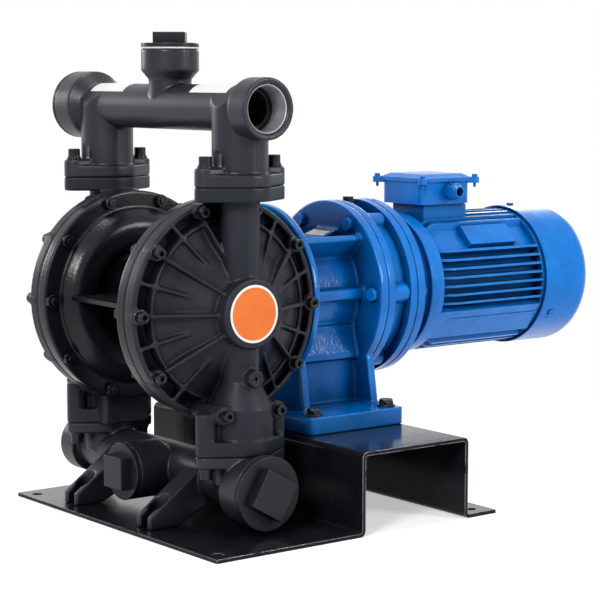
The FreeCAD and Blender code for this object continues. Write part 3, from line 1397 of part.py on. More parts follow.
def cycloid_outline(x):
    """The disc's edge: the path that keeps every ring pin a mesh fit away."""
    pins = LOBES + 1
    roller = RING_PIN_R + MESH_FIT
    points = []
    steps = LOBES * 10
    for i in range(steps):
        t = 2 * math.pi * i / steps
        lead = math.atan2(math.sin((1 - pins) * t),
                          PIN_CIRCLE_R / (THROW * pins) - math.cos((1 - pins) * t))
        y = PIN_CIRCLE_R * math.cos(t) - roller * math.cos(t + lead) - THROW * math.cos(pins * t)
        z = (-PIN_CIRCLE_R * math.sin(t) + roller * math.sin(t + lead)
             + THROW * math.sin(pins * t))
        points.append(V(x, y, z))
    curve = Part.BSplineCurve()
    curve.interpolate(points, PeriodicFlag=True)
    return Part.Face(Part.Wire([curve.toShape()]))


def cycloid_disc(x, phase):
    """A disc about its own centre, its lobes turned to suit a throw at phase degrees."""
    disc = cycloid_outline(x).extrude(X * DISC_T)
    disc.rotate(V(0, 0, 0), X, -phase / LOBES)
    disc = disc.cut(cyl(SLEEVE_RING_R + RUN_FIT, DISC_T + 2, V(x - 1, 0, 0), X))
    hole_r = OUTPUT_PIN_R + THROW + LOOSE_FIT
    for i in range(OUTPUT_PINS):
        t = 2 * math.pi * i / OUTPUT_PINS
        base = V(x - 1, OUTPUT_PIN_PCR * math.cos(t), OUTPUT_PIN_PCR * math.sin(t))
        disc = disc.cut(cyl(hole_r, DISC_T + 2, base, X))
    return disc


def placed_disc(x, phase):
    """A disc set in mesh, its centre on the throw."""
    disc = cycloid_disc(x, phase)
    t = math.radians(phase)
    disc.translate(V(0, THROW * math.cos(t), AXIS_Z + THROW * math.sin(t)))
    return disc


def eccentric_sleeve():
    """The double eccentric on the motor's shaft, with a roller ring on each throw."""
    parts = []
    for x, side in ((DISC_1_X, 1), (DISC_1_X + DISC_T + DISC_GAP, -1)):
        base = V(x, side * THROW, AXIS_Z)
        parts.append(cyl(SLEEVE_R, DISC_T, base, X))
    middle = cyl(SLEEVE_R - THROW - 1, 2 * DISC_T + DISC_GAP, V(DISC_1_X, 0, AXIS_Z), X)
    body = fuse(parts + [middle])
    return body.cut(cyl(SHAFT_R + SEAT_FIT, 3 * DISC_T, V(DISC_1_X - 1, 0, AXIS_Z), X))


def sleeve_rings():
    """The roller rings between the sleeve and the discs."""
    rings = []
    for x, side in ((DISC_1_X, 1), (DISC_1_X + DISC_T + DISC_GAP, -1)):
        base = V(x, side * THROW, AXIS_Z)
        rings.append(ring(SLEEVE_RING_R, SLEEVE_R + SEAT_FIT, DISC_T, base, X))
    return rings


def adapter_plate():
    """The plate between the pin housing and the motor, with the input's seal seat."""
    x0 = PIN_HOUSING_X1
    plate = turned_x([
        (x0, SHAFT_R + 10),
        (x0, REDUCER_R, 1.0),
        (x0 + ADAPTER_T, REDUCER_R, 1.5),
        (x0 + ADAPTER_T, SHAFT_R + 10),
    ])
    for i in range(THROUGH_BOLTS):
        base = on_drive(THROUGH_PCR, i * 360 / THROUGH_BOLTS, x0 - 1)
        plate = plate.cut(cyl(THROUGH_R + BOLT_FIT, ADAPTER_T + 2, base, X))
    return plate


def through_bolts():
    """Hexagon bolts that hold the motor, the adapter and the pin housing to flange 2.

    The low pair goes in from the motor's side, because the pedestal hides flange 2 there.
    """
    bolts = []
    x1 = PIN_HOUSING_X1 + ADAPTER_T + MOTOR_FLANGE_T
    length = x1 - FLANGE_2_X + 11
    for angle in through_angles(False):
        base = on_drive(THROUGH_PCR, angle, FLANGE_2_X)
        bolts.append(hex_bolt(THROUGH_HEAD_AF, THROUGH_HEAD_H, THROUGH_R, length, base, X * -1))
    for angle in through_angles(True):
        base = on_drive(THROUGH_PCR, angle, x1)
        bolts.append(hex_bolt(THROUGH_HEAD_AF, THROUGH_HEAD_H, THROUGH_R, x1 - FLANGE_2_X - 3,
                              base, X))
    return bolts


def through_nuts():
    """Nuts behind the motor's flange."""
    x = PIN_HOUSING_X1 + ADAPTER_T + MOTOR_FLANGE_T
    return [nut(THROUGH_HEAD_AF, THROUGH_HEAD_H + 1, THROUGH_R + SEAT_FIT,
                on_drive(THROUGH_PCR, angle, x), X) for angle in through_angles(False)]


def foot_fasteners():
    """Bolts and washers on the reducer's foot, and the nuts under the deck."""
    pieces = []
    foot_top = DECK_Z + REDUCER_FOOT_T
    under = DECK_Z - PLATE_T
    length = REDUCER_FOOT_T + FOOT_WASHER_T + PLATE_T + 12
    for x, y in foot_bolt_places():
        pieces.append(hex_bolt(FOOT_BOLT_AF, FOOT_BOLT_HEAD_H, FOOT_BOLT_R, length,
                               V(x, y, foot_top + FOOT_WASHER_T), Z))
        pieces.append(ring(FOOT_WASHER_R, FOOT_BOLT_R + SEAT_FIT, FOOT_WASHER_T,
                           V(x, y, foot_top), Z))
        pieces.append(nut(FOOT_BOLT_AF, FOOT_BOLT_HEAD_H + 2, FOOT_BOLT_R + SEAT_FIT,
                          V(x, y, under), Z * -1))
    return pieces


def oil_plug():
    """The breather plug on top of the pin housing."""
    top = AXIS_Z + LOBE_RING_R + 9
    washer = cyl(8.5, 1.5, V(OIL_PLUG_X, 0, top), Z)
    head = prism(OIL_PLUG_AF, 6, V(OIL_PLUG_X, 0, top + 1.5), Z)
    return fuse([washer, head])


def nameplate_seat():
    """The sloping pad on the barrel that carries the nameplate."""
    low = AXIS_Z + BARREL_R * 0.8
    length = FLANGE_2_X + 1 - NAMEPLATE_SEAT_X
    top = NAMEPLATE_SEAT_Z + length * math.tan(math.radians(NAMEPLATE_SLOPE))
    y = NAMEPLATE_Y - NAMEPLATE_W / 2 - 2
    points = [V(NAMEPLATE_SEAT_X, y, low), V(NAMEPLATE_SEAT_X, y, NAMEPLATE_SEAT_Z),
              V(FLANGE_2_X + 1, y, top), V(FLANGE_2_X + 1, y, low)]
    points.append(points[0])
    return Part.Face(Part.makePolygon(points)).extrude(Y * (NAMEPLATE_W + 4))


def nameplate():
    """A bare plate on the sloping pad."""
    half = NAMEPLATE_W / 2
    plate = box(2, 2 + NAMEPLATE_L, -half, half, 0, NAMEPLATE_T)
    plate.rotate(V(0, 0, 0), Y, -NAMEPLATE_SLOPE)
    plate.translate(V(NAMEPLATE_SEAT_X, NAMEPLATE_Y, NAMEPLATE_SEAT_Z))
    return plate


def drive_shield():
    """The motor's flanged end shield, which also carries its front bearing."""
    x0 = PIN_HOUSING_X1 + ADAPTER_T
    x1 = x0 + MOTOR_FLANGE_T
    body = turned_x([
        (x0, SHAFT_R + 10),
        (x0, REDUCER_R - 3, 0),
        (x0 + 2, REDUCER_R, 0),
        (x1, REDUCER_R, 1.5),
        (x1, SHIELD_NECK_R, 3.0),
        (SHIELD_RING_X, SHIELD_NECK_R, 3.0),
        (SHIELD_RING_X, SHIELD_RING_R, 2.0),
        (FRAME_X0, SHIELD_RING_R, 1.5),
        (FRAME_X0, FRAME_BORE_R),
        (MOTOR_BEARING_1_X + MOTOR_BEARING_W + 2, FRAME_BORE_R, 6.0),
        (MOTOR_BEARING_1_X + MOTOR_BEARING_W, MOTOR_BEARING_R + 8, 4.0),
        (MOTOR_BEARING_1_X + MOTOR_BEARING_W, MOTOR_BEARING_R + SEAT_FIT),
        (MOTOR_BEARING_1_X, MOTOR_BEARING_R + SEAT_FIT),
        (MOTOR_BEARING_1_X, SHAFT_R + 10),
    ])
    holes = []
    for i in range(THROUGH_BOLTS):
        angle = i * 360 / THROUGH_BOLTS
        holes.append(cyl(THROUGH_R + BOLT_FIT, MOTOR_FLANGE_T + 2,
                         on_drive(THROUGH_PCR, angle, x0 - 1), X))
        holes.append(cyl(THROUGH_HEAD_AF * 0.62 + 1, SHIELD_RING_X - x1,
                         on_drive(THROUGH_PCR, angle, x1), X))
    return body.cut(group(holes))


def fin_bars():
    """Cooling fins: level ones on the two sides, upright ones above and below."""
    bars = []
    x0 = FIN_X0 - FIN_TAPER
    for k in range(-4, 5):
        offset = k * FIN_PITCH
        for turn in (0, 90, 180, 270):
            if turn == 90 and abs(offset) < NECK_Y:
                continue
            bar = box(x0, FRAME_X1, FRAME_BODY_R * 0.7, FIN_R + 2,
                      offset - FIN_T / 2, offset + FIN_T / 2)
            bar.translate(V(0, 0, AXIS_Z))
            bar.rotate(V(0, 0, AXIS_Z), X, turn)
            bars.append(bar)
    for k in (-2, -1, 0, 1, 2):
        offset = k * FIN_PITCH
        bars.append(box(NECK_X1 - 2, FRAME_X1, offset - FIN_T / 2,
                        offset + FIN_T / 2, AXIS_Z + FRAME_BODY_R * 0.7, AXIS_Z + FIN_R + 2))
    return bars


def motor_frame():
    """The finned motor frame with its nameplate pads and the neck of the terminal box."""
    body = cyl(FRAME_BODY_R, FRAME_X1 - FRAME_X0, V(FRAME_X0, 0, AXIS_Z), X)
    end_ring = cyl(SHIELD_RING_R - 1.5, 10, V(FRAME_X0, 0, AXIS_Z), X)
    envelope = turned_x([
        (FRAME_X0, 0),
        (FRAME_X0, FRAME_BODY_R + 4),
        (FIN_X0 - FIN_TAPER, FRAME_BODY_R + 4),
        (FIN_X0 + FIN_TAPER, FIN_R, 6.0),
        (FRAME_X1, FIN_R),
        (FRAME_X1, 0),
    ])
    fins = group(fin_bars()).common(envelope)
    solids = [body, end_ring] + fins.Solids
    for angle in (45, 135):
        solids.append(pad(angle, PAD_R, PAD_W, PAD_X0, PAD_X1))
        solids.append(pad(angle, FRAME_BODY_R + 6, PAD_W + 12, FIN_X0, FRAME_X1))
    for angle in (215, 325):
        solids.append(pad(angle, PAD_R, LOW_PAD_W, FRAME_X0 + 6, FRAME_X1))
    neck = box(NECK_X0, NECK_X1, -NECK_Y, NECK_Y, AXIS_Z + FRAME_BODY_R * 0.8, NECK_Z)
    uprights = [e for e in neck.Edges if abs(e.tangentAt(0).z) > 0.9]
    solids.append(neck.makeFillet(3, uprights))
    frame = fuse(solids)
    frame = frame.cut(cyl(FRAME_BORE_R, FRAME_X1 - FRAME_X0 + 2, V(FRAME_X0 - 1, 0, AXIS_Z), X))
    return frame.cut(cyl(14, 60, V(BOX_X, 0, AXIS_Z + FRAME_BORE_R - 6), Z))


def pad(angle, radius, width, x0, x1):
    """A flat-topped pad on the motor frame, facing outwards at an angle."""
    block = box(x0, x1, FRAME_BODY_R * 0.8, radius, -width / 2, width / 2)
    block.translate(V(0, 0, AXIS_Z))
    block.rotate(V(0, 0, AXIS_Z), X, angle)
    return block


def stator_core():
    """The laminated stator pressed into the frame."""
    return ring(FRAME_BORE_R - SEAT_FIT, STATOR_IN_R, STATOR_X1 - STATOR_X0,
                V(STATOR_X0, 0, AXIS_Z), X)


def stator_windings():
    """The winding heads at both ends of the stator."""
    heads = []
    for x0 in (STATOR_X0 - WINDING_L, STATOR_X1):
        heads.append(turned_x([
            (x0, STATOR_IN_R + 4, 3.0),
            (x0, FRAME_BORE_R - 5, 5.0),
            (x0 + WINDING_L, FRAME_BORE_R - 5, 3.0),
            (x0 + WINDING_L, STATOR_IN_R + 4, 3.0),
        ]))
    return heads


def rotor_core():
    """The squirrel cage on the motor's shaft."""
    core = ring(ROTOR_R, SHAFT_R + 4 + SEAT_FIT, STATOR_X1 - STATOR_X0,
                V(STATOR_X0, 0, AXIS_Z), X)
    ends = []
    for x in (STATOR_X0 - 8, STATOR_X1):
        ends.append(ring(ROTOR_R - 2, ROTOR_R - 14, 8, V(x, 0, AXIS_Z), X))
    return fuse([core] + ends)


def motor_shaft():
    """The motor's shaft, from the eccentric sleeve to the fan."""
    x0 = DISC_1_X
    b1 = MOTOR_BEARING_1_X
    b2 = MOTOR_BEARING_2_X
    w = MOTOR_BEARING_W
    return turned_x([
        (x0, 0),
        (x0, SHAFT_R, 1.0),
        (b1 + w, SHAFT_R),
        (b1 + w, SHAFT_R + 4),
        (b2, SHAFT_R + 4),
        (b2, SHAFT_R),
        (b2 + w + 2, SHAFT_R),
        (b2 + w + 2, SHAFT_R - 2),
        (FAN_X + FAN_W + 3, SHAFT_R - 2, 1.0),
        (FAN_X + FAN_W + 3, 0),
    ])


def rear_shield():
    """The motor's rear end shield with the brackets that carry the fan cover."""
    x0 = FRAME_X1
    hub = MOTOR_BEARING_R + 8
    seat = MOTOR_BEARING_R + SEAT_FIT
    inner = MOTOR_BEARING_2_X
    body = turned_x([
        (inner, seat),
        (inner, hub, 2.0),
        (x0 - 1, hub),
        (x0 - 1, FRAME_BORE_R - SEAT_FIT),
        (x0, FRAME_BORE_R - SEAT_FIT),
        (x0, REAR_SHIELD_R),
        (x0 + REAR_SHIELD_T, REAR_SHIELD_R, 2.0),
        (x0 + REAR_SHIELD_T + 3, hub, 3.0),
        (x0 + REAR_SHIELD_T + 3, SHAFT_R + 3),
        (inner + MOTOR_BEARING_W, SHAFT_R + 3),
        (inner + MOTOR_BEARING_W, seat),
    ])
    return fuse([body] + fan_cover_lugs())


def fan():
    """The plastic fan: hub, back disc and straight blades."""
    bore = SHAFT_R - 2 + SEAT_FIT
    hub = ring(20, bore, FAN_W, V(FAN_X, 0, AXIS_Z), X)
    disc = ring(FAN_R * 0.72, bore, 3, V(FAN_X, 0, AXIS_Z), X)
    blades = []
    for i in range(FAN_BLADES):
        blade = box(FAN_X, FAN_X + FAN_W, 18, FAN_R, -1.5, 1.5)
        blade.translate(V(0, 0, AXIS_Z))
        blade.rotate(V(0, 0, AXIS_Z), X, i * 360 / FAN_BLADES + 11)
        blades.append(blade)
    return fuse([hub, disc] + blades)


def fan_cover():
    """The pressed sheet cover, with rings of slots in its end and lugs to the frame."""
    x0 = COVER_SHELL_X0
    x1 = COVER_SHELL_X1
    r = COVER_SHELL_R
    t = COVER_SHELL_T
    shell = turned_x([
        (x0, r - t),
        (x0, r),
        (x1, r, COVER_ROUND_R),
        (x1, 0),
        (x1 - t, 0),
        (x1 - t, r - t, COVER_ROUND_R - t),
    ])
    slots = []
    for ring_r, count in ((20, 6), (34, 10), (48, 14), (62, 18)):
        half = math.pi * ring_r / count * 0.7
        for i in range(count):
            bar = box(x1 - 2 * t, x1 + t, ring_r - 3, ring_r + 3, -half, half)
            bar.translate(V(0, 0, AXIS_Z))
            bar.rotate(V(0, 0, AXIS_Z), X, i * 360 / count)
            slots.append(bar)
    shell = shell.cut(group(slots))
    for angle in cover_screw_angles():
        base = on_drive(r + 1, angle, COVER_SCREW_X)
        inward = (V(COVER_SCREW_X, 0, AXIS_Z) - base).normalize()
        shell = shell.cut(cyl(COVER_SCREW_R + BOLT_FIT, 6, base, inward))
    return shell


def cover_screw_angles():
    """The fan cover's screws, one on top."""
    return [90 + i * 360 / COVER_SCREWS for i in range(COVER_SCREWS)]


def fan_cover_lugs():
    """Brackets from the rear shield that the fan cover is screwed to."""
    lugs = []
    reach = COVER_SHELL_R - COVER_SHELL_T
    for angle in cover_screw_angles():
        x0 = FRAME_X1 + REAR_SHIELD_T
        arm = box(x0, COVER_SCREW_X + 6, reach - 3, reach - 0.1, -7, 7)
        leg = box(x0, x0 + 3, REAR_SHIELD_R - 12, reach - 0.1, -7, 7)
        lug = arm.fuse(leg)
        lug = lug.common(cyl(reach - 0.1, 60, V(x0 - 1, 0, 0), X))
        lug.translate(V(0, 0, AXIS_Z))
        lug.rotate(V(0, 0, AXIS_Z), X, angle)
        base = on_drive(reach + 1, angle, COVER_SCREW_X)
        inward = (V(COVER_SCREW_X, 0, AXIS_Z) - base).normalize()
        lugs.append(lug.cut(cyl(COVER_SCREW_R + SEAT_FIT, 8, base, inward)).removeSplitter())
    return lugs


def fan_cover_screws():
    """The fan cover's round-headed screws."""
    screws = []
    for angle in cover_screw_angles():
        base = on_drive(COVER_SHELL_R, angle, COVER_SCREW_X)
        out = (base - V(COVER_SCREW_X, 0, AXIS_Z)).normalize()
        head = cyl(COVER_SCREW_R * 2, 2.8, base + out * 0.1, out)
        shank = cyl(COVER_SCREW_R, 7, base + out * 0.1, out * -1)
        slot = Part.makeBox(COVER_SCREW_R * 5, 1.2, 1.4)
        slot.translate(V(-COVER_SCREW_R * 2.5, -0.6, 0))
        slot.rotate(V(0, 0, 0), X, angle - 90)
        slot.translate(base + out * 1.9)
        screws.append(head.fuse(shank).cut(slot).removeSplitter())
    return screws


def square_block(half, z0, z1, radius):
    """A square block about the terminal box's axis with rounded uprights."""
    block = box(BOX_X - half, BOX_X + half, -half, half, z0, z1)
    uprights = [e for e in block.Edges if abs(e.tangentAt(0).z) > 0.9]
    return block.makeFillet(radius, uprights)


def box_gasket_z():
    """Underside of the terminal box, above its neck's gasket."""
    return NECK_Z + BOX_GASKET_T


def terminal_box():
    """The open-topped terminal box with its cable hole, screwed to the motor's neck."""
    z0 = box_gasket_z()
    body = square_block(BOX_HALF, z0, BOX_Z, BOX_ROUND)
    inside = square_block(BOX_HALF - BOX_WALL, z0 + BOX_WALL, BOX_Z + 1, BOX_ROUND - BOX_WALL)
    body = fuse([body] + corner_ears(BOX_Z - EAR_H, EAR_H))
    body = body.cut(inside)
    body = body.cut(cyl(14, 12, V(BOX_X, 0, z0 - 1), Z))
    body = body.cut(cyl(gland_thread_r() + SEAT_FIT, BOX_WALL + 8,
                        V(GLAND_X, -BOX_HALF - 1, GLAND_Z), Y))
    body = body.cut(cyl(gland_thread_r() + SEAT_FIT, BOX_WALL + 8,
                        V(BOX_X + BOX_HALF + 1, 0, GLAND_Z), X * -1))
    for x, y in ear_places():
        body = body.cut(cyl(2.0 + SEAT_FIT, 13, V(x, y, BOX_Z - 12), Z))
    return body


def gland_thread_r():
    """Radius of the cable gland's thread."""
    return GLAND_R - 4


def ear_places():
    """The four lid screws, on ears outside the corners."""
    places = []
    for sx in (-1, 1):
        for sy in (-1, 1):
            places.append((BOX_X + sx * EAR_AT, sy * EAR_AT))
    return places


def corner_ears(z0, height):
    """The screw ears outside the box's corners, each on a short arm."""
    ears = []
    for x, y in ear_places():
        ears.append(cyl(EAR_R, height, V(x, y, z0), Z))
        inward = (V(BOX_X, 0, 0) - V(x, y, 0)).normalize()
        across = V(-inward.y, inward.x, 0) * EAR_R
        start = V(x, y, z0)
        reach = inward * (EAR_R * 3)
        points = [start + across, start - across, start - across + reach, start + across + reach]
        points.append(points[0])
        ears.append(Part.Face(Part.makePolygon(points)).extrude(Z * height))
    return ears


def box_gasket():
    """The seal between the motor's neck and the terminal box."""
    sheet = box(NECK_X0 + 1, BOX_X + BOX_HALF - 1, 1 - NECK_Y, NECK_Y - 1, NECK_Z, box_gasket_z())
    return sheet.cut(cyl(14, 10, V(BOX_X, 0, NECK_Z - 1), Z))


def box_lid():
    """The lid: a rim with four eared corners and a raised bevelled panel."""
    z0 = BOX_Z
    rim = square_block(LID_HALF, z0, z0 + LID_T, BOX_ROUND)
    ears = corner_ears(z0, LID_T)
    low = square_wire(LID_HALF - 4, z0 + LID_T)
    high = square_wire(LID_TOP_HALF, z0 + LID_T + LID_RISE)
    panel = Part.makeLoft([low, high], True, True)
    lid = fuse([rim, panel] + ears)
    hollow = square_wire(LID_HALF - 8, z0 - 1)
    hollow_top = square_wire(LID_TOP_HALF - 3, z0 + LID_T + LID_RISE - 3)
    lid = lid.cut(Part.makeLoft([hollow, hollow_top], True, True))
    for x, y in ear_places():
        lid = lid.cut(cyl(2.0 + BOLT_FIT, LID_T + 2, V(x, y, z0 - 1), Z))
    return lid


def square_wire(half, z):
    """A square outline about the terminal box's axis."""
    corners = [(-half, -half), (half, -half), (half, half), (-half, half), (-half, -half)]
    return Part.makePolygon([V(BOX_X + x, y, z) for x, y in corners])


def lid_screws():
    """The four screws of the lid."""
    screws = []
    for x, y in ear_places():
        base = V(x, y, BOX_Z + LID_T)
        screws.append(socket_bolt(4.0, 4.0, 2.0, LID_T + 9, base, Z))
    return screws


def cable_gland():
    """An empty cable gland on the near side of the box: thread, body, cap nut and bore."""
    face = V(GLAND_X, -BOX_HALF, GLAND_Z)
    out = Y * -1
    thread = cyl(gland_thread_r(), BOX_WALL + 4, face, Y)
    hexagon = prism(GLAND_R * 1.8, 6, face, out)
    neck = cyl(GLAND_R * 0.82, 4, face + out * 6, out)
    cap = prism(GLAND_R * 1.75, GLAND_L - 13, face + out * 9, out)
    nose = cone(GLAND_R * 0.85, GLAND_R * 0.68, 4, face + out * (GLAND_L - 4), out)
    body = fuse([thread, hexagon, neck, cap, nose])
    return body.cut(cyl(GLAND_BORE_R, GLAND_L + BOX_WALL + 10, face + out * (GLAND_L + 1), Y))


def blank_plug():
    """The blank plug in the box's unused cable hole."""
    face = V(BOX_X + BOX_HALF, 0, GLAND_Z)
    thread = cyl(gland_thread_r(), BOX_WALL + 4, face, X * -1)
    head = cyl(GLAND_R + 1, 4, face, X)
    grip = prism(GLAND_R * 1.2, 3, face + X * 4, X)
    return fuse([thread, head, grip])


def terminal_board():
    """The moulded board on the box's floor with its six studs."""
    z0 = box_gasket_z() + BOX_WALL
    board = box(BOX_X - 26, BOX_X + 26, 16, 32, z0, z0 + 9)
    for i in range(3):
        for y in (20.5, 27.5):
            board = board.fuse(cyl(2, 9, V(BOX_X - 16 + 16 * i, y, z0 + 8), Z))
    return board.removeSplitter()


def save(name, shape):
    """Write one node's STEP file."""
    shape.exportStep("parts/" + name + ".step")


def both_sides(shapes):
    """Far pieces and their near twins, as one node."""
    return group(shapes + [mirrored(shape) for shape in shapes])


def pump_pieces():
    """Every node of the pump itself."""
    pieces = {"base_plate": base_plate(), "crankcase": crankcase(), "plunger": plunger()}
    far = {
        "inner_casing": inner_casing(),
        "outer_cover": outer_cover(),
        "diaphragm": diaphragm(),
        "discharge_ball": ball(TOP_PARTING_Z),
        "suction_ball": ball(LOW_PARTING_Z + SEAT_T),
    }
    for name, shape in far.items():
        pieces[name + "_far"] = shape
        pieces[name + "_near"] = mirrored(shape)
    pieces["casing_screws"] = both_sides(casing_screws())
    pieces["coupling_bolts"] = group(coupling_bolts())
    pieces["diaphragm_plates"] = both_sides([inner_plate(), outer_plate()])
    pieces["round_badges"] = both_sides([round_badge()])
    pieces["rim_bolts"] = both_sides(rim_bolts() + rim_washers())
    pieces["rim_nuts"] = both_sides(rim_nuts())
    pieces["rod_nuts"] = both_sides([rod_nut()])
    pieces["rod_bushes"] = both_sides([rod_bush()])
    pieces["drain_plugs"] = both_sides([drain_plug()])
    pieces["valve_seats"] = both_sides([valve_seat(TOP_PARTING_Z - SEAT_T),
                                        valve_seat(LOW_PARTING_Z)])
    return pieces


def round_badge():
    """The bare round sticker on the far cover's hub."""
    return cyl(BADGE_R, BADGE_T, V(0, HUB_A, AXIS_Z), Y)


def drain_plug():
    """The small screw plug in the far cover's lower boss."""
    base = V(0, DRAIN_BOSS_A - 5, DRAIN_Z)
    stem = cyl(DRAIN_PLUG_R, 18, base, Y * -1)
    head = cyl(DRAIN_PLUG_R, 4, base, Y)
    return fuse([stem, head]).cut(prism(DRAIN_PLUG_R * 1.1, 4, base, Y))


def manifold_pieces():
    """Both manifolds with their plugs, seals and fasteners."""
    pieces = {"discharge_manifold": discharge_manifold(), "suction_manifold": suction_manifold()}
    top = V(0, 0, TOP_BOSS_Z)
    far = V(0, PORT_FAR_Y, TOP_PIPE_Z)
    near, side = suction_plug_seats()
    pieces["top_gasket"] = ring(TOP_BOSS_R, TOP_BOSS_BORE_R, GASKET_T, top, Z)
    pieces["discharge_plugs"] = group([
        plug(TOP_BOSS_BORE_R, TOP_BOSS_R, TOP_HEAD_SQ, top + Z * GASKET_T, Z, TOP_HEAD_TURN),
        plug(PORT_THREAD_R, PORT_FAR_R, TOP_HEAD_SQ, far, Y, 45),
    ])
    pieces["suction_plugs"] = group([
        plug(LOW_NEAR_BORE_R, LOW_NEAR_R, NEAR_HEAD_SQ, near, Y * -1, NEAR_HEAD_TURN),
        plug(SIDE_BORE_R, SIDE_BOSS_R, SIDE_HEAD_SQ, side, X * -1, 45),
    ])
    pieces["manifold_labels"] = group([manifold_label(*LABEL_NEAR_Y),
                                       manifold_label(*LABEL_FAR_Y)])
    pieces["manifold_bolts"] = group(discharge_bolts() + suction_bolts())
    return pieces


def suction_plug_seats():
    """Where the end plug and the side plug sit, a seal's thickness off their bosses."""
    near = V(0, LOW_NEAR_Y - SEAL_T, LOW_NEAR_Z)
    side = V(SIDE_BOSS_X - SEAL_T, 0, LOW_PIPE_Z)
    return near, side


def rubber_seals():
    """Rod seals, shaft seals, the suction plugs' rings and the terminal box's gasket."""
    near, side = suction_plug_seats()
    seals = [
        rod_seal(),
        mirrored(rod_seal()),
        ring(LOW_NEAR_R - 2, LOW_NEAR_BORE_R, SEAL_T, near, Y),
        ring(SIDE_BOSS_R - 2, SIDE_BORE_R, SEAL_T, side, X),
        ring(OUT_SHAFT_R + 9 - SEAT_FIT, OUT_SHAFT_R + RUN_FIT, OIL_SEAL_W,
             V(FLANGE_1_X + FLANGE_1_T - OIL_SEAL_W, 0, AXIS_Z), X),
        ring(SHAFT_R + 10 - SEAT_FIT, SHAFT_R + RUN_FIT, ADAPTER_T - 2,
             V(PIN_HOUSING_X1 + 1, 0, AXIS_Z), X),
        box_gasket(),
    ]
    return group(seals)


def reducer_pieces():
    """The reducer, its gear and its fasteners."""
    pieces = {"reducer_housing": reducer_housing(), "pin_housing": pin_housing()}
    pieces["ring_pins"] = group(ring_pins())
    pieces["output_shaft"] = output_shaft()
    pieces["eccentric"] = eccentric()
    pieces["eccentric_bearing"] = eccentric_bearing()
    bearings = []
    for x in (FRONT_BEARING_X, REAR_BEARING_X):
        bearings += ball_bearing(OUT_SHAFT_R + RUN_FIT, BEARING_OD_R, BEARING_W, x)
    for x in (MOTOR_BEARING_1_X, MOTOR_BEARING_2_X):
        bearings += ball_bearing(SHAFT_R + RUN_FIT, MOTOR_BEARING_R, MOTOR_BEARING_W, x)
    pieces["ball_bearings"] = group(bearings)
    pieces["rubber_seals"] = rubber_seals()
    pieces["cycloid_disc_front"] = placed_disc(DISC_1_X, 0)
    pieces["cycloid_disc_rear"] = placed_disc(DISC_1_X + DISC_T + DISC_GAP, 180)
    pieces["eccentric_sleeve"] = group([eccentric_sleeve()] + sleeve_rings())
    pieces["adapter_plate"] = adapter_plate()
    pieces["through_bolts"] = group(through_bolts() + through_nuts())
    pieces["foot_bolts"] = group(foot_fasteners())
    pieces["oil_plug"] = oil_plug()
    pieces["nameplate"] = nameplate()
    return pieces


def motor_pieces():
    """The motor and its terminal box."""
    return {
        "drive_end_shield": drive_shield(),
        "motor_frame": motor_frame(),
        "stator_core": stator_core(),
        "stator_windings": group(stator_windings()),
        "rotor": rotor_core(),
        "motor_shaft": motor_shaft(),
        "rear_end_shield": rear_shield(),
        "fan": fan(),
        "fan_cover": fan_cover(),
        "motor_screws": group(fan_cover_screws() + lid_screws()),
        "terminal_box": terminal_box(),
        "terminal_box_lid": box_lid(),
        "cable_fittings": group([cable_gland(), blank_plug()]),
        "terminal_board": terminal_board(),
    }


def main():
    """Build every piece and write it."""
    os.makedirs("parts", exist_ok=True)
    for pieces in (pump_pieces(), manifold_pieces(), reducer_pieces(), motor_pieces()):
        for name, shape in pieces.items():
            save(name, shape)


main()
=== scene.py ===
"""Finishes an electric double-diaphragm pump: painted castings, fasteners, threads and labels.

Metres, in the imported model's own frame: +X runs along the drive towards the motor, +Y along
the diaphragms away from the camera, +Z up. The file is laid out as a Blender add-on and is
run as a script.
"""
import math

import bmesh
import bpy
from bpy.props import FloatProperty, FloatVectorProperty, IntProperty, PointerProperty
from mathutils import Matrix, Vector


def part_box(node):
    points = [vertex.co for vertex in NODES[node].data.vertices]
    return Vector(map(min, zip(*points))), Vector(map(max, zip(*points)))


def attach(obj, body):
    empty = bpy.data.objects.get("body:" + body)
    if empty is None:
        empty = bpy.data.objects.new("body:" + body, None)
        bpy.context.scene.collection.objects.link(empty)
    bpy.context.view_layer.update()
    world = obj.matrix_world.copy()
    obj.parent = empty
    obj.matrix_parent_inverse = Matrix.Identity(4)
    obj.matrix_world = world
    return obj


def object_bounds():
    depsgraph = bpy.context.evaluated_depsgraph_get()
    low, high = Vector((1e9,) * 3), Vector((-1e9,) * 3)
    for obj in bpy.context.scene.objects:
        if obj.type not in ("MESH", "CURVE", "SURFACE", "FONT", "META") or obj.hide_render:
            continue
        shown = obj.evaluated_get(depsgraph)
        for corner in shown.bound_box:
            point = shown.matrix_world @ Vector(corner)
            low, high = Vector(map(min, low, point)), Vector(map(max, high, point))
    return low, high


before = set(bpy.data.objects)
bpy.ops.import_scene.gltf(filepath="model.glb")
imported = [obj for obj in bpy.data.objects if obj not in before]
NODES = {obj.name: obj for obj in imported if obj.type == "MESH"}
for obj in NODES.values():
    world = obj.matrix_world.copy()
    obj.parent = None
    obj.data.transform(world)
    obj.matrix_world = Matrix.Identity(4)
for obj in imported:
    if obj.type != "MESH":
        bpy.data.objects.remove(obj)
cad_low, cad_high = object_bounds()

bl_info = {
    "name": "Diaphragm pump finishes",
    "version": (1, 0, 0),
    "blender": (4, 5, 0),
    "location": "View3D > Sidebar > Pump",
    "description": "Castings, enamel, fasteners, threads and labels for a packed pump",
    "category": "Object",
}

BODY = "pump"
MM = 0.001

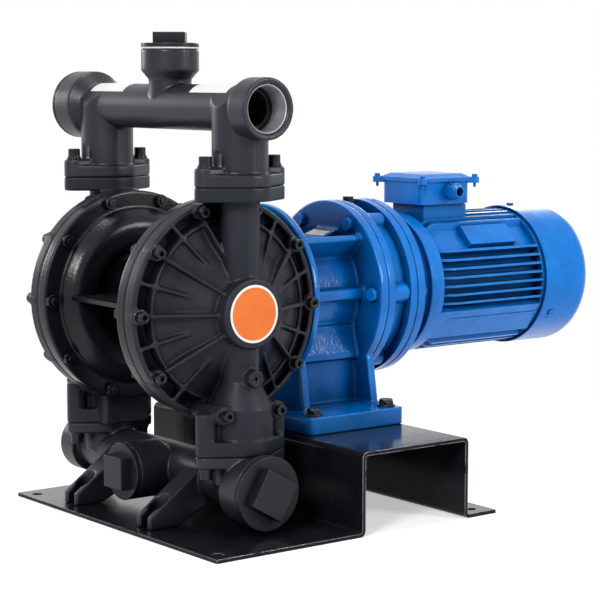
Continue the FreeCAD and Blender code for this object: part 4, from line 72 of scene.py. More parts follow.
# Places and sizes shared with the solids, in metres
AXIS_Z = 0.279
RIM_BOLTS = 10
RIM_BOLT_PCR = 0.131
RIM_NUT_Y = 0.0795
RIM_END_Y = 0.0765
RIM_BOLT_R = 0.004
PORT_Y = -0.2135
PORT_Z = 0.5317
PORT_R = 0.0298
PORT_THREAD_L = 0.032
PORT_LEAD = 0.0032
ROUGH_BAND = (0.153, 0.255)

# The floor keeps the shadow inside the first radius and is plain beyond the second
FLOOR_CENTRE_X = 0.28
FLOOR_SHADOW_R = 0.50
FLOOR_PLAIN_R = 0.85

# The photograph's camera
CAMERA_PLACE = (-1.4136, -2.1089, 0.5712)
CAMERA_AZIMUTH = -37.64
CAMERA_ELEVATION = 6.56
CAMERA_ROLL = 0.12
CAMERA_LENS = 116.8
SENSOR = 36.0


# Shader trees

class Tree:
    """Adds nodes to a shader tree and links them."""

    def __init__(self, tree):
        self.tree = tree

    def add(self, kind, inputs=None, **settings):
        """A node with its settings and its inputs, each a value or another node's output."""
        node = self.tree.nodes.new(kind)
        for name, value in settings.items():
            setattr(node, name, value)
        for key, value in (inputs or {}).items():
            self.put(node.inputs[key], value)
        return node

    def put(self, socket, value):
        """Links an output to a socket, or sets the socket's own value."""
        if isinstance(value, bpy.types.NodeSocket):
            self.tree.links.new(value, socket)
        else:
            socket.default_value = value

    def math(self, operation, a, b=0.0, clamp=False):
        """One arithmetic step."""
        return self.add("ShaderNodeMath", {0: a, 1: b}, operation=operation,
                        use_clamp=clamp).outputs[0]

    def mix(self, factor, a, b):
        """A blend of two colours."""
        return self.add("ShaderNodeMix", {0: factor, 6: a, 7: b}, data_type="RGBA").outputs[2]

    def spread(self, value, low, high, to_low=0.0, to_high=1.0):
        """A value stretched between two limits, and held there."""
        return self.add("ShaderNodeMapRange",
                        {0: value, 1: low, 2: high, 3: to_low, 4: to_high}).outputs[0]

    def coords(self, scale=(1.0, 1.0, 1.0), turn=(0.0, 0.0, 0.0), move=(0.0, 0.0, 0.0)):
        """Object coordinates, scaled, turned and moved."""
        place = self.add("ShaderNodeTexCoord").outputs["Object"]
        return self.add("ShaderNodeMapping", {0: place, "Scale": scale, "Rotation": turn,
                                              "Location": move}).outputs[0]

    def noise(self, vector, scale, detail=3.0, rough=0.5):
        """Noise from 0 to 1."""
        return self.add("ShaderNodeTexNoise", {"Vector": vector, "Scale": scale,
                                               "Detail": detail, "Roughness": rough}).outputs[0]

    def group(self, name, **inputs):
        """A shared shader group with its own values."""
        node = self.tree.nodes.new("ShaderNodeGroup")
        node.node_tree = bpy.data.node_groups[name]
        for key, value in inputs.items():
            self.put(node.inputs[key.replace("_", " ")], value)
        return node


def new_group(name, inputs, outputs):
    """An empty shader group: its tree helper, the values it takes and the ones it gives."""
    tree = bpy.data.node_groups.new(name, "ShaderNodeTree")
    for key, default in inputs.items():
        if default is None:
            tree.interface.new_socket(key, in_out="INPUT", socket_type="NodeSocketVector")
        else:
            socket = tree.interface.new_socket(key, in_out="INPUT",
                                               socket_type="NodeSocketFloat")
            socket.default_value = default
    for key, kind in outputs.items():
        tree.interface.new_socket(key, in_out="OUTPUT", socket_type="NodeSocket" + kind)
    steps = Tree(tree)
    source = steps.add("NodeGroupInput").outputs
    result = steps.add("NodeGroupOutput").inputs
    return steps, source, result


def make_edge_wear():
    """Mask of outer edges, broken up by noise: 1 where paint has rubbed through; the paints also use it
    for a painted highlight along their edges.
    """
    t, source, result = new_group("Edge wear", {"Reach": 0.0012, "Amount": 0.5, "Patch": 60.0},
                                  {"Mask": "Float"})
    soft = t.add("ShaderNodeBevel", {"Radius": source["Reach"]}, samples=6).outputs[0]
    flat = t.add("ShaderNodeNewGeometry").outputs["Normal"]
    dot = t.add("ShaderNodeVectorMath", {0: soft, 1: flat}, operation="DOT_PRODUCT")
    bend = t.spread(dot.outputs["Value"], 0.995, 0.80)
    open_air = t.add("ShaderNodeAmbientOcclusion", {"Distance": 0.004}, samples=4,
                     only_local=True).outputs["AO"]
    outer = t.spread(open_air, 0.72, 0.95)
    patch = t.noise(t.coords(), source["Patch"], 4.0, 0.62)
    limit = t.math("SUBTRACT", 0.78, t.math("MULTIPLY", source["Amount"], 0.5))
    holes = t.add("ShaderNodeMapRange", {0: patch, 1: limit,
                                         2: t.math("ADD", limit, 0.10)}).outputs[0]
    t.put(result["Mask"], t.math("MULTIPLY", t.math("MULTIPLY", bend, outer), holes))


def make_cast_grain():
    """The bumps and tone of a sand casting under paint: fine grain, soft lumps and pits."""
    t, source, result = new_group("Cast grain", {"Grain": 700.0, "Lump": 90.0, "Lumpiness": 0.5},
                                  {"Height": "Float", "Tone": "Float"})
    place = t.coords()
    fine = t.noise(place, source["Grain"], 3.0, 0.6)
    lumps = t.noise(place, source["Lump"], 3.0, 0.5)
    cells = t.add("ShaderNodeTexVoronoi", {"Vector": place, "Scale": source["Grain"]},
                  feature="SMOOTH_F1").outputs["Distance"]
    pits = t.spread(t.noise(place, 230.0, 2.0), 0.70, 0.78)
    height = t.math("MULTIPLY", fine, 0.45)
    height = t.math("ADD", height, t.math("MULTIPLY", cells, -0.35))
    height = t.math("ADD", height, t.math("MULTIPLY", lumps, source["Lumpiness"]))
    height = t.math("SUBTRACT", height, t.math("MULTIPLY", pits, 0.35))
    tone = t.noise(place, 22.0, 5.0, 0.65)
    t.put(result["Height"], height)
    t.put(result["Tone"], t.spread(tone, 0.28, 0.72))


def make_soft_relief():
    """A normal with edges eased over a small radius, and bumps from a height."""
    t, source, result = new_group("Soft relief",
                                  {"Radius": 0.0006, "Height": 0.0, "Depth": 0.0002},
                                  {"Normal": "Vector"})
    eased = t.add("ShaderNodeBevel", {"Radius": source["Radius"]}, samples=6).outputs[0]
    bump = t.add("ShaderNodeBump", {"Strength": 1.0, "Distance": source["Depth"],
                                    "Height": source["Height"], "Normal": eased})
    t.put(result["Normal"], bump.outputs[0])


def make_settled_dust():
    """Mask of fine dust on upward faces and in sheltered corners."""
    t, source, result = new_group("Settled dust", {"Amount": 0.3}, {"Mask": "Float"})
    normal = t.add("ShaderNodeNewGeometry").outputs["Normal"]
    up = t.add("ShaderNodeSeparateXYZ", {0: normal}).outputs["Z"]
    lying = t.spread(up, 0.2, 1.0)
    cloud = t.spread(t.noise(t.coords(), 45.0, 6.0, 0.7), 0.35, 0.75)
    open_air = t.add("ShaderNodeAmbientOcclusion", {"Distance": 0.012}, samples=4,
                     only_local=True).outputs["AO"]
    corner = t.spread(open_air, 0.85, 0.35)
    both = t.math("ADD", t.math("MULTIPLY", lying, 0.7), t.math("MULTIPLY", corner, 0.5))
    t.put(result["Mask"], t.math("MULTIPLY", t.math("MULTIPLY", both, cloud),
                                 source["Amount"], clamp=True))


def make_shelter():
    """Mask of deep hollows and gaps, used to paint shade into them: darker colour and weaker reflections.
    """
    t, source, result = new_group("Hollow shade", {"Reach": 0.04, "Amount": 0.8}, {"Mask": "Float"})
    open_air = t.add("ShaderNodeAmbientOcclusion", {"Distance": source["Reach"]},
                     samples=4).outputs["AO"]
    t.put(result["Mask"], t.math("MULTIPLY", t.spread(open_air, 0.86, 0.30), source["Amount"]))


def make_drawn_lines():
    """Fine parallel marks of turning, grinding or brushing, across the given coordinates."""
    t, source, result = new_group("Drawn lines", {"Place": None, "Lines": 900.0},
                                  {"Height": "Float", "Tone": "Float"})
    fine = t.noise(source["Place"], source["Lines"], 2.0, 0.6)
    broad = t.noise(source["Place"], t.math("MULTIPLY", source["Lines"], 0.21), 2.0, 0.5)
    t.put(result["Height"], t.math("ADD", t.math("MULTIPLY", fine, 0.7),
                                   t.math("MULTIPLY", broad, 0.3)))
    t.put(result["Tone"], broad)


def new_material(name, colour):
    """An empty material and its tree helper."""
    material = bpy.data.materials.new(name)
    material.use_nodes = True
    material.diffuse_color = (*colour[:3], 1.0)
    material.node_tree.nodes.clear()
    t = Tree(material.node_tree)
    return material, t


def shade(t, inputs):
    """Ends a material's tree in a Principled BSDF."""
    shader = t.add("ShaderNodeBsdfPrincipled", inputs)
    t.add("ShaderNodeOutputMaterial", {"Surface": shader.outputs[0]})


def rgba(colour):
    """A colour with full alpha."""
    return (*colour[:3], 1.0)


def glancing(t, straight, grazing, start=0.5):
    """A specular level that rises where a surface is seen at a glancing angle."""
    facing = t.add("ShaderNodeLayerWeight", {"Blend": 0.5}).outputs["Facing"]
    return t.spread(facing, start, 0.88, straight, grazing)


def painted(name, colour, deep, roughness, grain=700.0, lump=90.0, lumpiness=0.5, depth=0.00012,
            wear=0.4, bare=(0.30, 0.31, 0.33), bare_metal=0.7, dust=0.2, ease=0.0006,
            specular=0.25, shelter=0.8, reach=0.045, seam=0.0, rough_band=None,
            grazing=None):
    """Paint on cast or sheet metal: two tones, grain, rubbed edges with a painted highlight, painted shade
    in hollows and a little dust.

    A seam is the mould's parting ridge on the mid-plane. A rough band is the stretch along
    the drive axis where the casting was left as it came from the sand. Grazing is the
    specular level at glancing angles, where it differs.
    """
    material, t = new_material(name, colour)
    skin = t.group("Cast grain", Grain=grain, Lump=lump, Lumpiness=lumpiness)
    edge_mask = t.group("Edge wear", Reach=ease * 1.6, Amount=wear, Patch=70.0).outputs["Mask"]
    dusty = t.group("Settled dust", Amount=dust).outputs["Mask"]
    hollow = t.group("Hollow shade", Reach=reach, Amount=shelter).outputs["Mask"]
    base = t.mix(skin.outputs["Tone"], rgba(deep), rgba(colour))
    # Edges take the edge colour: partly rubbed paint, partly a painted highlight along the edges.
    base = t.mix(edge_mask, base, rgba(bare))
    base = t.mix(dusty, base, (0.25, 0.25, 0.25, 1.0))
    # Painted shade: hollows and gaps are darkened towards near black.
    painted_shade = tuple(0.15 * c for c in deep)
    base = t.mix(hollow, base, rgba(painted_shade))
    rough = t.math("ADD", roughness - 0.06, t.math("MULTIPLY", skin.outputs["Tone"], 0.12))
    rough = t.math("ADD", rough, t.math("MULTIPLY", dusty, 0.3), clamp=True)
    height = skin.outputs["Height"]
    x = t.add("ShaderNodeSeparateXYZ", {0: t.coords()}).outputs["X"]
    if rough_band:
        inside = t.math("MULTIPLY", t.spread(x, rough_band[0], rough_band[0] + 2 * MM),
                        t.spread(x, rough_band[1] + 2 * MM, rough_band[1]))
        height = t.math("MULTIPLY", height, t.spread(inside, 0.0, 1.0, 0.25, 1.0))
    if seam:
        ridge = t.spread(t.math("ABSOLUTE", x), 0.9 * MM, 0.3 * MM)
        height = t.math("ADD", height, t.math("MULTIPLY", ridge, seam))
    normal = t.group("Soft relief", Radius=ease, Height=height, Depth=depth)
    level = glancing(t, specular, grazing) if grazing else specular
    # Painted shade also dims the reflections in the hollows.
    open_air = t.math("SUBTRACT", 1.0, hollow)
    shade(t, {"Base Color": base, "Roughness": rough,
              "Specular IOR Level": t.math("MULTIPLY", open_air, level),
              "Metallic": t.math("MULTIPLY", edge_mask, bare_metal), "Normal": normal.outputs[0]})
    return material


def enamelled(name, colours, roughness, **finish):
    """Blue enamel, its edges painted a paler blue as a painted highlight."""
    return painted(name, colours.enamel, colours.enamel_deep, roughness, bare_metal=0.1,
                   dust=0.0, **finish)


def bare_steel(name, colour, roughness, lines=900.0, stretch=(1.0, 1.0, 0.03), ease=0.0004,
               wear=0.5, bare=(0.62, 0.62, 0.63), metallic=1.0):
    """Machined or blackened metal: fine tool lines, tone patches and brighter edges."""
    material, t = new_material(name, colour)
    drawn = t.group("Drawn lines", Place=t.coords(scale=stretch), Lines=lines)
    edge_mask = t.group("Edge wear", Reach=ease * 1.8, Amount=wear, Patch=160.0).outputs["Mask"]
    cloud = t.spread(t.noise(t.coords(), 60.0, 5.0, 0.6), 0.3, 0.7)
    dark = tuple(0.62 * c for c in colour)
    base = t.mix(cloud, rgba(dark), rgba(colour))
    base = t.mix(edge_mask, base, rgba(bare))
    rough = t.math("ADD", roughness - 0.08, t.math("MULTIPLY", drawn.outputs["Tone"], 0.16))
    rough = t.math("SUBTRACT", rough, t.math("MULTIPLY", edge_mask, 0.1), clamp=True)
    normal = t.group("Soft relief", Radius=ease, Height=drawn.outputs["Height"], Depth=0.00003)
    shade(t, {"Base Color": base, "Roughness": rough, "Metallic": metallic,
              "Normal": normal.outputs[0]})
    return material


def moulded(name, colour, roughness, dust=0.15, specular=0.4, sheen=0.0):
    """Rubber or plastic: an even matt skin with faint mottling and dust."""
    material, t = new_material(name, colour)
    skin = t.group("Cast grain", Grain=1400.0, Lump=140.0, Lumpiness=0.3)
    dusty = t.group("Settled dust", Amount=dust).outputs["Mask"]
    pale = tuple(min(1.0, c * 1.35 + 0.004) for c in colour)
    base = t.mix(skin.outputs["Tone"], rgba(colour), rgba(pale))
    base = t.mix(dusty, base, (0.35, 0.34, 0.32, 1.0))
    rough = t.math("ADD", roughness - 0.05, t.math("MULTIPLY", skin.outputs["Tone"], 0.1))
    normal = t.group("Soft relief", Radius=0.0005, Height=skin.outputs["Height"], Depth=0.00004)
    shade(t, {"Base Color": base, "Roughness": rough, "Specular IOR Level": specular,
              "Sheen Weight": sheen, "Normal": normal.outputs[0]})
    return material


def badge_material(colours):
    """The round sticker: an orange field inside a white rim, slightly scuffed."""
    material, t = new_material("Round sticker", colours.badge)
    place = t.add("ShaderNodeSeparateXYZ", {0: t.coords(move=(0.0, 0.0, -AXIS_Z))})
    x = place.outputs["X"]
    z = place.outputs["Z"]
    radius = t.math("SQRT", t.math("ADD", t.math("MULTIPLY", x, x), t.math("MULTIPLY", z, z)))
    low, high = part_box("round_badges")
    edge = (high[2] - low[2]) / 2
    rim = t.spread(radius, edge - 3.2 * MM, edge - 2.9 * MM)
    skin = t.group("Cast grain", Grain=500.0, Lump=60.0, Lumpiness=0.8)
    scuff = t.spread(t.noise(t.coords(scale=(1.0, 1.0, 6.0)), 130.0, 5.0, 0.65), 0.66, 0.74)
    field = t.mix(skin.outputs["Tone"], rgba(colours.badge_deep), rgba(colours.badge))
    field = t.mix(t.math("MULTIPLY", scuff, 0.35), field, (0.95, 0.42, 0.20, 1.0))
    base = t.mix(rim, field, (0.84, 0.84, 0.83, 1.0))
    rough = t.math("ADD", 0.34, t.math("MULTIPLY", skin.outputs["Tone"], 0.12))
    rough = t.math("ADD", rough, t.math("MULTIPLY", scuff, 0.2))
    normal = t.group("Soft relief", Radius=0.0003, Height=skin.outputs["Height"], Depth=0.00005)
    shade(t, {"Base Color": base, "Roughness": rough, "Specular IOR Level": 0.3,
              "Normal": normal.outputs[0]})
    return material


def label_material():
    """A bare white paper label, slightly yellowed and lifted by the casting's grain."""
    material, t = new_material("Bare paper label", (0.8, 0.8, 0.78))
    skin = t.group("Cast grain", Grain=600.0, Lump=120.0, Lumpiness=0.6)
    fibre = t.spread(t.noise(t.coords(scale=(1.0, 0.25, 1.0)), 900.0, 4.0), 0.3, 0.7)
    base = t.mix(skin.outputs["Tone"], (0.74, 0.74, 0.73, 1.0), (0.80, 0.80, 0.80, 1.0))
    base = t.mix(t.math("MULTIPLY", fibre, 0.15), base, (0.70, 0.70, 0.69, 1.0))
    rough = t.math("ADD", 0.42, t.math("MULTIPLY", fibre, 0.15))
    normal = t.group("Soft relief", Radius=0.0002, Height=skin.outputs["Height"], Depth=0.00008)
    shade(t, {"Base Color": base, "Roughness": rough, "Specular IOR Level": 0.2,
              "Normal": normal.outputs[0]})
    return material


def plate_material():
    """The bare nameplate: brushed aluminium, black border, black band along its top."""
    material, t = new_material("Bare nameplate", (0.6, 0.6, 0.6))
    drawn = t.group("Drawn lines", Place=t.coords(scale=(1.0, 0.04, 1.0)), Lines=1500.0)
    spot = t.spread(t.noise(t.coords(), 120.0, 5.0), 0.35, 0.7)
    silver = t.mix(drawn.outputs["Tone"], (0.50, 0.51, 0.52, 1.0), (0.74, 0.75, 0.76, 1.0))
    low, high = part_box("nameplate")
    half_x, half_y = (high[0] - low[0]) / 2, (high[1] - low[1]) / 2
    centre = ((low[0] + high[0]) / 2, (low[1] + high[1]) / 2)
    place = t.add("ShaderNodeSeparateXYZ", {0: t.coords(move=(-centre[0], -centre[1], 0.0))})
    x = t.math("ABSOLUTE", place.outputs["X"])
    y = t.math("ABSOLUTE", place.outputs["Y"])
    border = t.math("MAXIMUM", t.spread(x, half_x - 1.8 * MM, half_x - 1.6 * MM),
                    t.spread(y, half_y - 1.8 * MM, half_y - 1.6 * MM))
    edge = t.math("MAXIMUM", t.spread(x, half_x - 0.7 * MM, half_x - 0.6 * MM),
                  t.spread(y, half_y - 0.7 * MM, half_y - 0.6 * MM))
    band = t.spread(place.outputs["X"], half_x - 7.2 * MM, half_x - 7.0 * MM)
    rules = t.math("ABSOLUTE", t.math("SINE", t.math("MULTIPLY", place.outputs["X"],
                                                     math.pi / (3.4 * MM))))
    border = t.math("MAXIMUM", border, t.spread(rules, 0.16, 0.10, 0.0, 0.8))
    ink = t.math("SUBTRACT", t.math("MAXIMUM", border, band), edge, clamp=True)
    base = t.mix(ink, silver, (0.012, 0.012, 0.014, 1.0))
    base = t.mix(t.math("MULTIPLY", spot, 0.2), base, (0.30, 0.30, 0.30, 1.0))
    rough = t.math("ADD", 0.36, t.math("MULTIPLY", spot, 0.2))
    normal = t.group("Soft relief", Radius=0.0002, Height=drawn.outputs["Height"], Depth=0.00002)
    shade(t, {"Base Color": base, "Roughness": rough,
              "Metallic": t.math("SUBTRACT", 0.6, t.math("MULTIPLY", ink, 0.6)),
              "Normal": normal.outputs[0]})
    return material


def lamination_material():
    """Stacked steel sheets: fine dark joints across the drive axis."""
    material, t = new_material("Laminated steel", (0.35, 0.35, 0.36))
    x = t.add("ShaderNodeSeparateXYZ", {0: t.coords()}).outputs["X"]
    joint = t.math("ABSOLUTE", t.math("SINE", t.math("MULTIPLY", x, math.pi / (0.5 * MM))))
    cloud = t.spread(t.noise(t.coords(), 70.0, 5.0), 0.3, 0.7)
    base = t.mix(cloud, (0.20, 0.19, 0.18, 1.0), (0.36, 0.36, 0.37, 1.0))
    base = t.mix(t.spread(joint, 0.3, 0.0), base, (0.04, 0.035, 0.03, 1.0))
    normal = t.group("Soft relief", Radius=0.0003, Height=joint, Depth=0.00006)
    rough = t.math("ADD", 0.35, t.math("MULTIPLY", cloud, 0.2))
    shade(t, {"Base Color": base, "Roughness": rough, "Metallic": 0.9,
              "Normal": normal.outputs[0]})
    return material


def winding_material():
    """Varnished copper wire laid round the drive axis."""
    material, t = new_material("Varnished windings", (0.45, 0.16, 0.06))
    place = t.add("ShaderNodeSeparateXYZ", {0: t.coords(move=(0.0, 0.0, -AXIS_Z))})
    y = place.outputs["Y"]
    z = place.outputs["Z"]
    radius = t.math("SQRT", t.math("ADD", t.math("MULTIPLY", y, y), t.math("MULTIPLY", z, z)))
    wander = t.math("MULTIPLY", t.noise(t.coords(), 40.0, 2.0), 0.004)
    lay = t.math("ADD", t.math("ADD", radius, place.outputs["X"]), wander)
    wire = t.math("ABSOLUTE", t.math("SINE", t.math("MULTIPLY", lay, math.pi / (0.9 * MM))))
    base = t.mix(wire, (0.10, 0.030, 0.010, 1.0), (0.52, 0.19, 0.07, 1.0))
    normal = t.group("Soft relief", Radius=0.0004, Height=wire, Depth=0.0003)
    rough = t.math("ADD", 0.25, t.math("MULTIPLY", wire, 0.1))
    shade(t, {"Base Color": base, "Roughness": rough, "Metallic": 0.5, "Coat Weight": 0.4,
              "Normal": normal.outputs[0]})
    return material


def steel_sheet_material(colours):
    """The base plate: dark painted sheet, rubbed bright along its cut edges, scuffed, and darkened as
    painted shade under the pump.
    """
    material, t = new_material("Painted base sheet", colours.base_plate)
    skin = t.group("Cast grain", Grain=420.0, Lump=26.0, Lumpiness=1.2)
    edge_mask = t.group("Edge wear", Reach=0.0018, Amount=0.85, Patch=55.0).outputs["Mask"]
    dusty = t.group("Settled dust", Amount=0.08).outputs["Mask"]
    hollow = t.group("Hollow shade", Reach=0.12, Amount=0.75).outputs["Mask"]
    rubbed = t.spread(t.noise(t.coords(scale=(1.0, 2.4, 1.0)), 14.0, 7.0, 0.68), 0.50, 0.78)
    streak = t.spread(t.noise(t.coords(scale=(0.5, 9.0, 1.0), turn=(0.0, 0.0, 0.35)), 60.0,
                              4.0, 0.6), 0.66, 0.74)
    speck = t.spread(t.noise(t.coords(), 380.0, 3.0, 0.6), 0.70, 0.76)
    base = t.mix(skin.outputs["Tone"], rgba(colours.base_deep), rgba(colours.base_plate))
    base = t.mix(t.math("MULTIPLY", rubbed, 0.30), base, (0.030, 0.032, 0.040, 1.0))
    base = t.mix(t.math("MULTIPLY", streak, 0.30), base, (0.07, 0.075, 0.085, 1.0))
    base = t.mix(t.math("MULTIPLY", speck, 0.5), base, (0.12, 0.125, 0.14, 1.0))
    base = t.mix(edge_mask, base, (0.40, 0.41, 0.44, 1.0))
    base = t.mix(dusty, base, (0.20, 0.20, 0.21, 1.0))
    # Painted shade: near black where the pump's parts shelter the sheet from the light.
    base = t.mix(hollow, base, (0.004, 0.004, 0.005, 1.0))
    rough = t.math("ADD", 0.15, t.math("MULTIPLY", rubbed, 0.14))
    rough = t.math("ADD", rough, t.math("MULTIPLY", dusty, 0.35), clamp=True)
    normal = t.group("Soft relief", Radius=0.0009, Height=skin.outputs["Height"], Depth=0.000015)
    shade(t, {"Base Color": base, "Roughness": rough,
              "Specular IOR Level": glancing(t, 0.12, 1.0, 0.6), "Metallic": t.math("MULTIPLY", edge_mask, 0.8),
              "Normal": normal.outputs[0]})
    return material


# Settings in the sidebar

def colour_setting(name, description, default):
    """A colour property."""
    return FloatVectorProperty(name=name, description=description, default=default,
                               subtype="COLOR", size=3, min=0.0, max=1.0)


class PumpColours(bpy.types.PropertyGroup):
    """Paint and label colours."""

    iron: colour_setting("Pump paint", "Satin charcoal of the outer castings",
                         (0.019, 0.0215, 0.030))
    iron_deep: colour_setting("Pump paint, deep", "Darker tone of the same paint",
                              (0.012, 0.014, 0.021))
    inner: colour_setting("Inner paint", "Glossier black of the inner casings",
                          (0.0085, 0.0095, 0.013))
    enamel: colour_setting("Enamel", "Blue of the reducer and the motor",
                           (0.002, 0.208, 0.70))
    enamel_deep: colour_setting("Enamel, deep", "Darker tone of the blue",
                                (0.001, 0.130, 0.49))
    # A paler blue painted along the castings' edges as a highlight, with some rubbed paint.
    enamel_edge_highlight: colour_setting("Enamel, edges", "Thin blue along the castings' edges",
                                (0.09, 0.42, 0.86))
    base_plate: colour_setting("Base paint", "Paint of the bent base plate",
                               (0.010, 0.011, 0.015))
    base_deep: colour_setting("Base paint, deep", "Darker tone of the base plate",
                              (0.005, 0.006, 0.009))
    badge: colour_setting("Sticker", "Orange of the round sticker", (0.84, 0.19, 0.026))
    badge_deep: colour_setting("Sticker, deep", "Darker orange", (0.74, 0.155, 0.020))


class PumpSizes(bpy.types.PropertyGroup):
    """Sizes of the finishing work."""

    skin: FloatProperty(name="Casting skin", description="Cell size of the castings' skin",
                        default=0.0014, min=0.0008, max=0.004, subtype="DISTANCE", unit="LENGTH")
    fine_skin: FloatProperty(name="Fine skin", description="Cell size on smaller castings",
                             default=0.0011, min=0.0006, max=0.004, subtype="DISTANCE",
                             unit="LENGTH")
    rounding: IntProperty(name="Rounding", description="Passes that ease a casting's edges",
                          default=7, min=0, max=40)
    port_pitch: FloatProperty(name="Port pitch", description="Pitch of the discharge thread",
                              default=0.0023, min=0.001, max=0.004, subtype="DISTANCE",
                              unit="LENGTH")
    bolt_pitch: FloatProperty(name="Bolt pitch", description="Pitch on the bolts' ends",
                              default=0.00125, min=0.0005, max=0.003, subtype="DISTANCE",
                              unit="LENGTH")


class PumpStage(bpy.types.PropertyGroup):
    """Lamps and floor."""

    key: FloatProperty(name="Key lamp", description="Strength of the left lamp", default=58.0,
                       min=0.0, unit="POWER")
    fill: FloatProperty(name="Fill lamp", description="Strength of the right lamp", default=38.0,
                        min=0.0, unit="POWER")
    top: FloatProperty(name="Top lamp", description="Strength of the lamp above", default=25.0,
                       min=0.0, unit="POWER")
    rim: FloatProperty(name="Rim lamps", description="Strength of each lamp behind",
                       default=17.0, min=0.0, unit="POWER")
    ambient: FloatProperty(name="Ambient", description="Strength of the room's own light",
                           default=0.30, min=0.0, max=2.0)
    floor: FloatProperty(name="Floor", description="Half width of the floor", default=9.0,
                         min=1.0, unit="LENGTH")


# Making and finishing pieces

def dress(material, *names):
    """Gives CAD nodes a material."""
    for name in names:
        for slot in NODES[name].material_slots:
            slot.material = material


def cast_skin(name, cell, rounding, share=0.6):
    """Eases every edge of a casting: closes its mesh, lays an even skin on it, relaxes it."""
    node = NODES[name]
    weld = node.modifiers.new("Close", "WELD")
    weld.merge_threshold = 0.00001
    skin = node.modifiers.new("Skin", "REMESH")
    skin.mode = "VOXEL"
    skin.voxel_size = cell
    skin.use_smooth_shade = True
    relax = node.modifiers.new("Relax", "SMOOTH")
    relax.factor = 0.5
    relax.iterations = rounding
    thin = node.modifiers.new("Thin", "DECIMATE")
    thin.ratio = share


def new_piece(name, mesh, material):
    """Puts a bmesh in the scene as a piece that rides on the pump's body."""
    bmesh.ops.remove_doubles(mesh, verts=mesh.verts, dist=1e-6)
    bmesh.ops.recalc_face_normals(mesh, faces=mesh.faces)
    data = bpy.data.meshes.new(name)
    mesh.to_mesh(data)
    mesh.free()
    data.materials.append(material)
    data.shade_smooth()
    piece = bpy.data.objects.new(name, data)
    bpy.context.scene.collection.objects.link(piece)
    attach(piece, BODY)


def closed_loop(mesh, points):
    """A closed chain of edges through points, ready to be spun."""
    verts = [mesh.verts.new(p) for p in points]
    edges = []
    for i, vert in enumerate(verts):
        edges.append(mesh.edges.new((vert, verts[(i + 1) % len(verts)])))
    return verts + edges


def spun_ring(mesh, profile, centre, axis, steps):
    """Turns a profile of (radius, distance along the axis) into a closed ring."""
    side = Vector((0, 0, 1)) if abs(axis.z) < 0.5 else Vector((1, 0, 0))
    points = [centre + side * r + axis * d for r, d in profile]
    bmesh.ops.spin(mesh, geom=closed_loop(mesh, points), cent=centre, axis=axis,
                   angle=2 * math.pi, steps=steps, use_merge=True)


def thread_profile(crest, root, wall, length, pitch):
    """A thread as rings of crests and roots, with a plain wall behind them."""
    turns = max(1, int(length / pitch))
    pitch = length / turns
    points = [(wall, 0.0), (root, 0.0)]
    for i in range(turns):
        points.append((crest, (i + 0.5) * pitch))
        points.append((root, (i + 1.0) * pitch))
    points.append((wall, length))
    return points


def rim_place(angle, y):
    """A point on the rim bolts' circle."""
    return Vector((RIM_BOLT_PCR * math.cos(angle), y, AXIS_Z + RIM_BOLT_PCR * math.sin(angle)))


# Operators

class PUMP_OT_groups(bpy.types.Operator):
    """Makes the effects that several finishes share"""

    bl_idname = "pump.groups"
    bl_label = "Shared effects"

    def execute(self, context):
        make_edge_wear()
        make_cast_grain()
        make_soft_relief()
        make_settled_dust()
        make_shelter()
        make_drawn_lines()
        return {"FINISHED"}


class PUMP_OT_castings(bpy.types.Operator):
    """Paints the pump's castings and eases their edges"""

    bl_idname = "pump.castings"
    bl_label = "Pump castings"

    def execute(self, context):
        colours = context.scene.pump_colours
        sizes = context.scene.pump_sizes
        # The iron's edges take a lighter grey, partly rubbed paint, partly a painted highlight; hollows
        # are darkened as painted shade.
        satin = painted("Satin charcoal on cast iron", colours.iron, colours.iron_deep, 0.40,
                        grain=400.0, lump=55.0, lumpiness=0.5, depth=0.00024, wear=0.34,
                        bare=(0.09, 0.10, 0.125), dust=0.03, specular=0.20)
        pipes = painted("Satin charcoal on the manifolds", colours.iron, colours.iron_deep, 0.35,
                        grain=400.0, lump=50.0, lumpiness=0.6, depth=0.00022, wear=0.34,
                        bare=(0.09, 0.10, 0.125), dust=0.03, specular=0.32, seam=2.0)
        inner = painted("Gloss black on cast iron", colours.inner,
                        tuple(c * 0.7 for c in colours.inner), 0.24, grain=300.0, lump=45.0,
                        lumpiness=0.7, depth=0.00032, wear=0.3, bare=(0.08, 0.085, 0.105),
                        dust=0.03, specular=0.26)
        dress(satin, "outer_cover_far", "outer_cover_near")
        dress(pipes, "discharge_manifold", "suction_manifold")
        dress(inner, "inner_casing_far", "inner_casing_near", "crankcase")
        for name in ("outer_cover_far", "outer_cover_near"):
            cast_skin(name, sizes.skin, sizes.rounding, 0.5)
        for name in ("discharge_manifold", "suction_manifold", "inner_casing_far",
                     "inner_casing_near", "crankcase"):
            cast_skin(name, sizes.skin, sizes.rounding, 0.6)
        return {"FINISHED"}


class PUMP_OT_port_thread(bpy.types.Operator):
    """Cuts the thread in the open discharge port"""

    bl_idname = "pump.port_thread"
    bl_label = "Port thread"

    def execute(self, context):
        pitch = context.scene.pump_sizes.port_pitch
        steel = bare_steel("Cut thread", (0.52, 0.53, 0.57), 0.42, lines=1200.0,
                           stretch=(1.0, 0.05, 1.0), wear=0.8, bare=(0.72, 0.73, 0.76),
                           metallic=0.55)
        length = PORT_THREAD_L - PORT_LEAD - 0.8 * MM
        profile = thread_profile(PORT_R - 1.75 * MM, PORT_R - 0.25 * MM, PORT_R - 0.05 * MM,
                                 length, pitch)
        start = Vector((0, PORT_Y + PORT_LEAD, PORT_Z))
        mesh = bmesh.new()
        spun_ring(mesh, profile, start, Vector((0, 1, 0)), 96)
        new_piece("port_thread", mesh, steel)
        return {"FINISHED"}


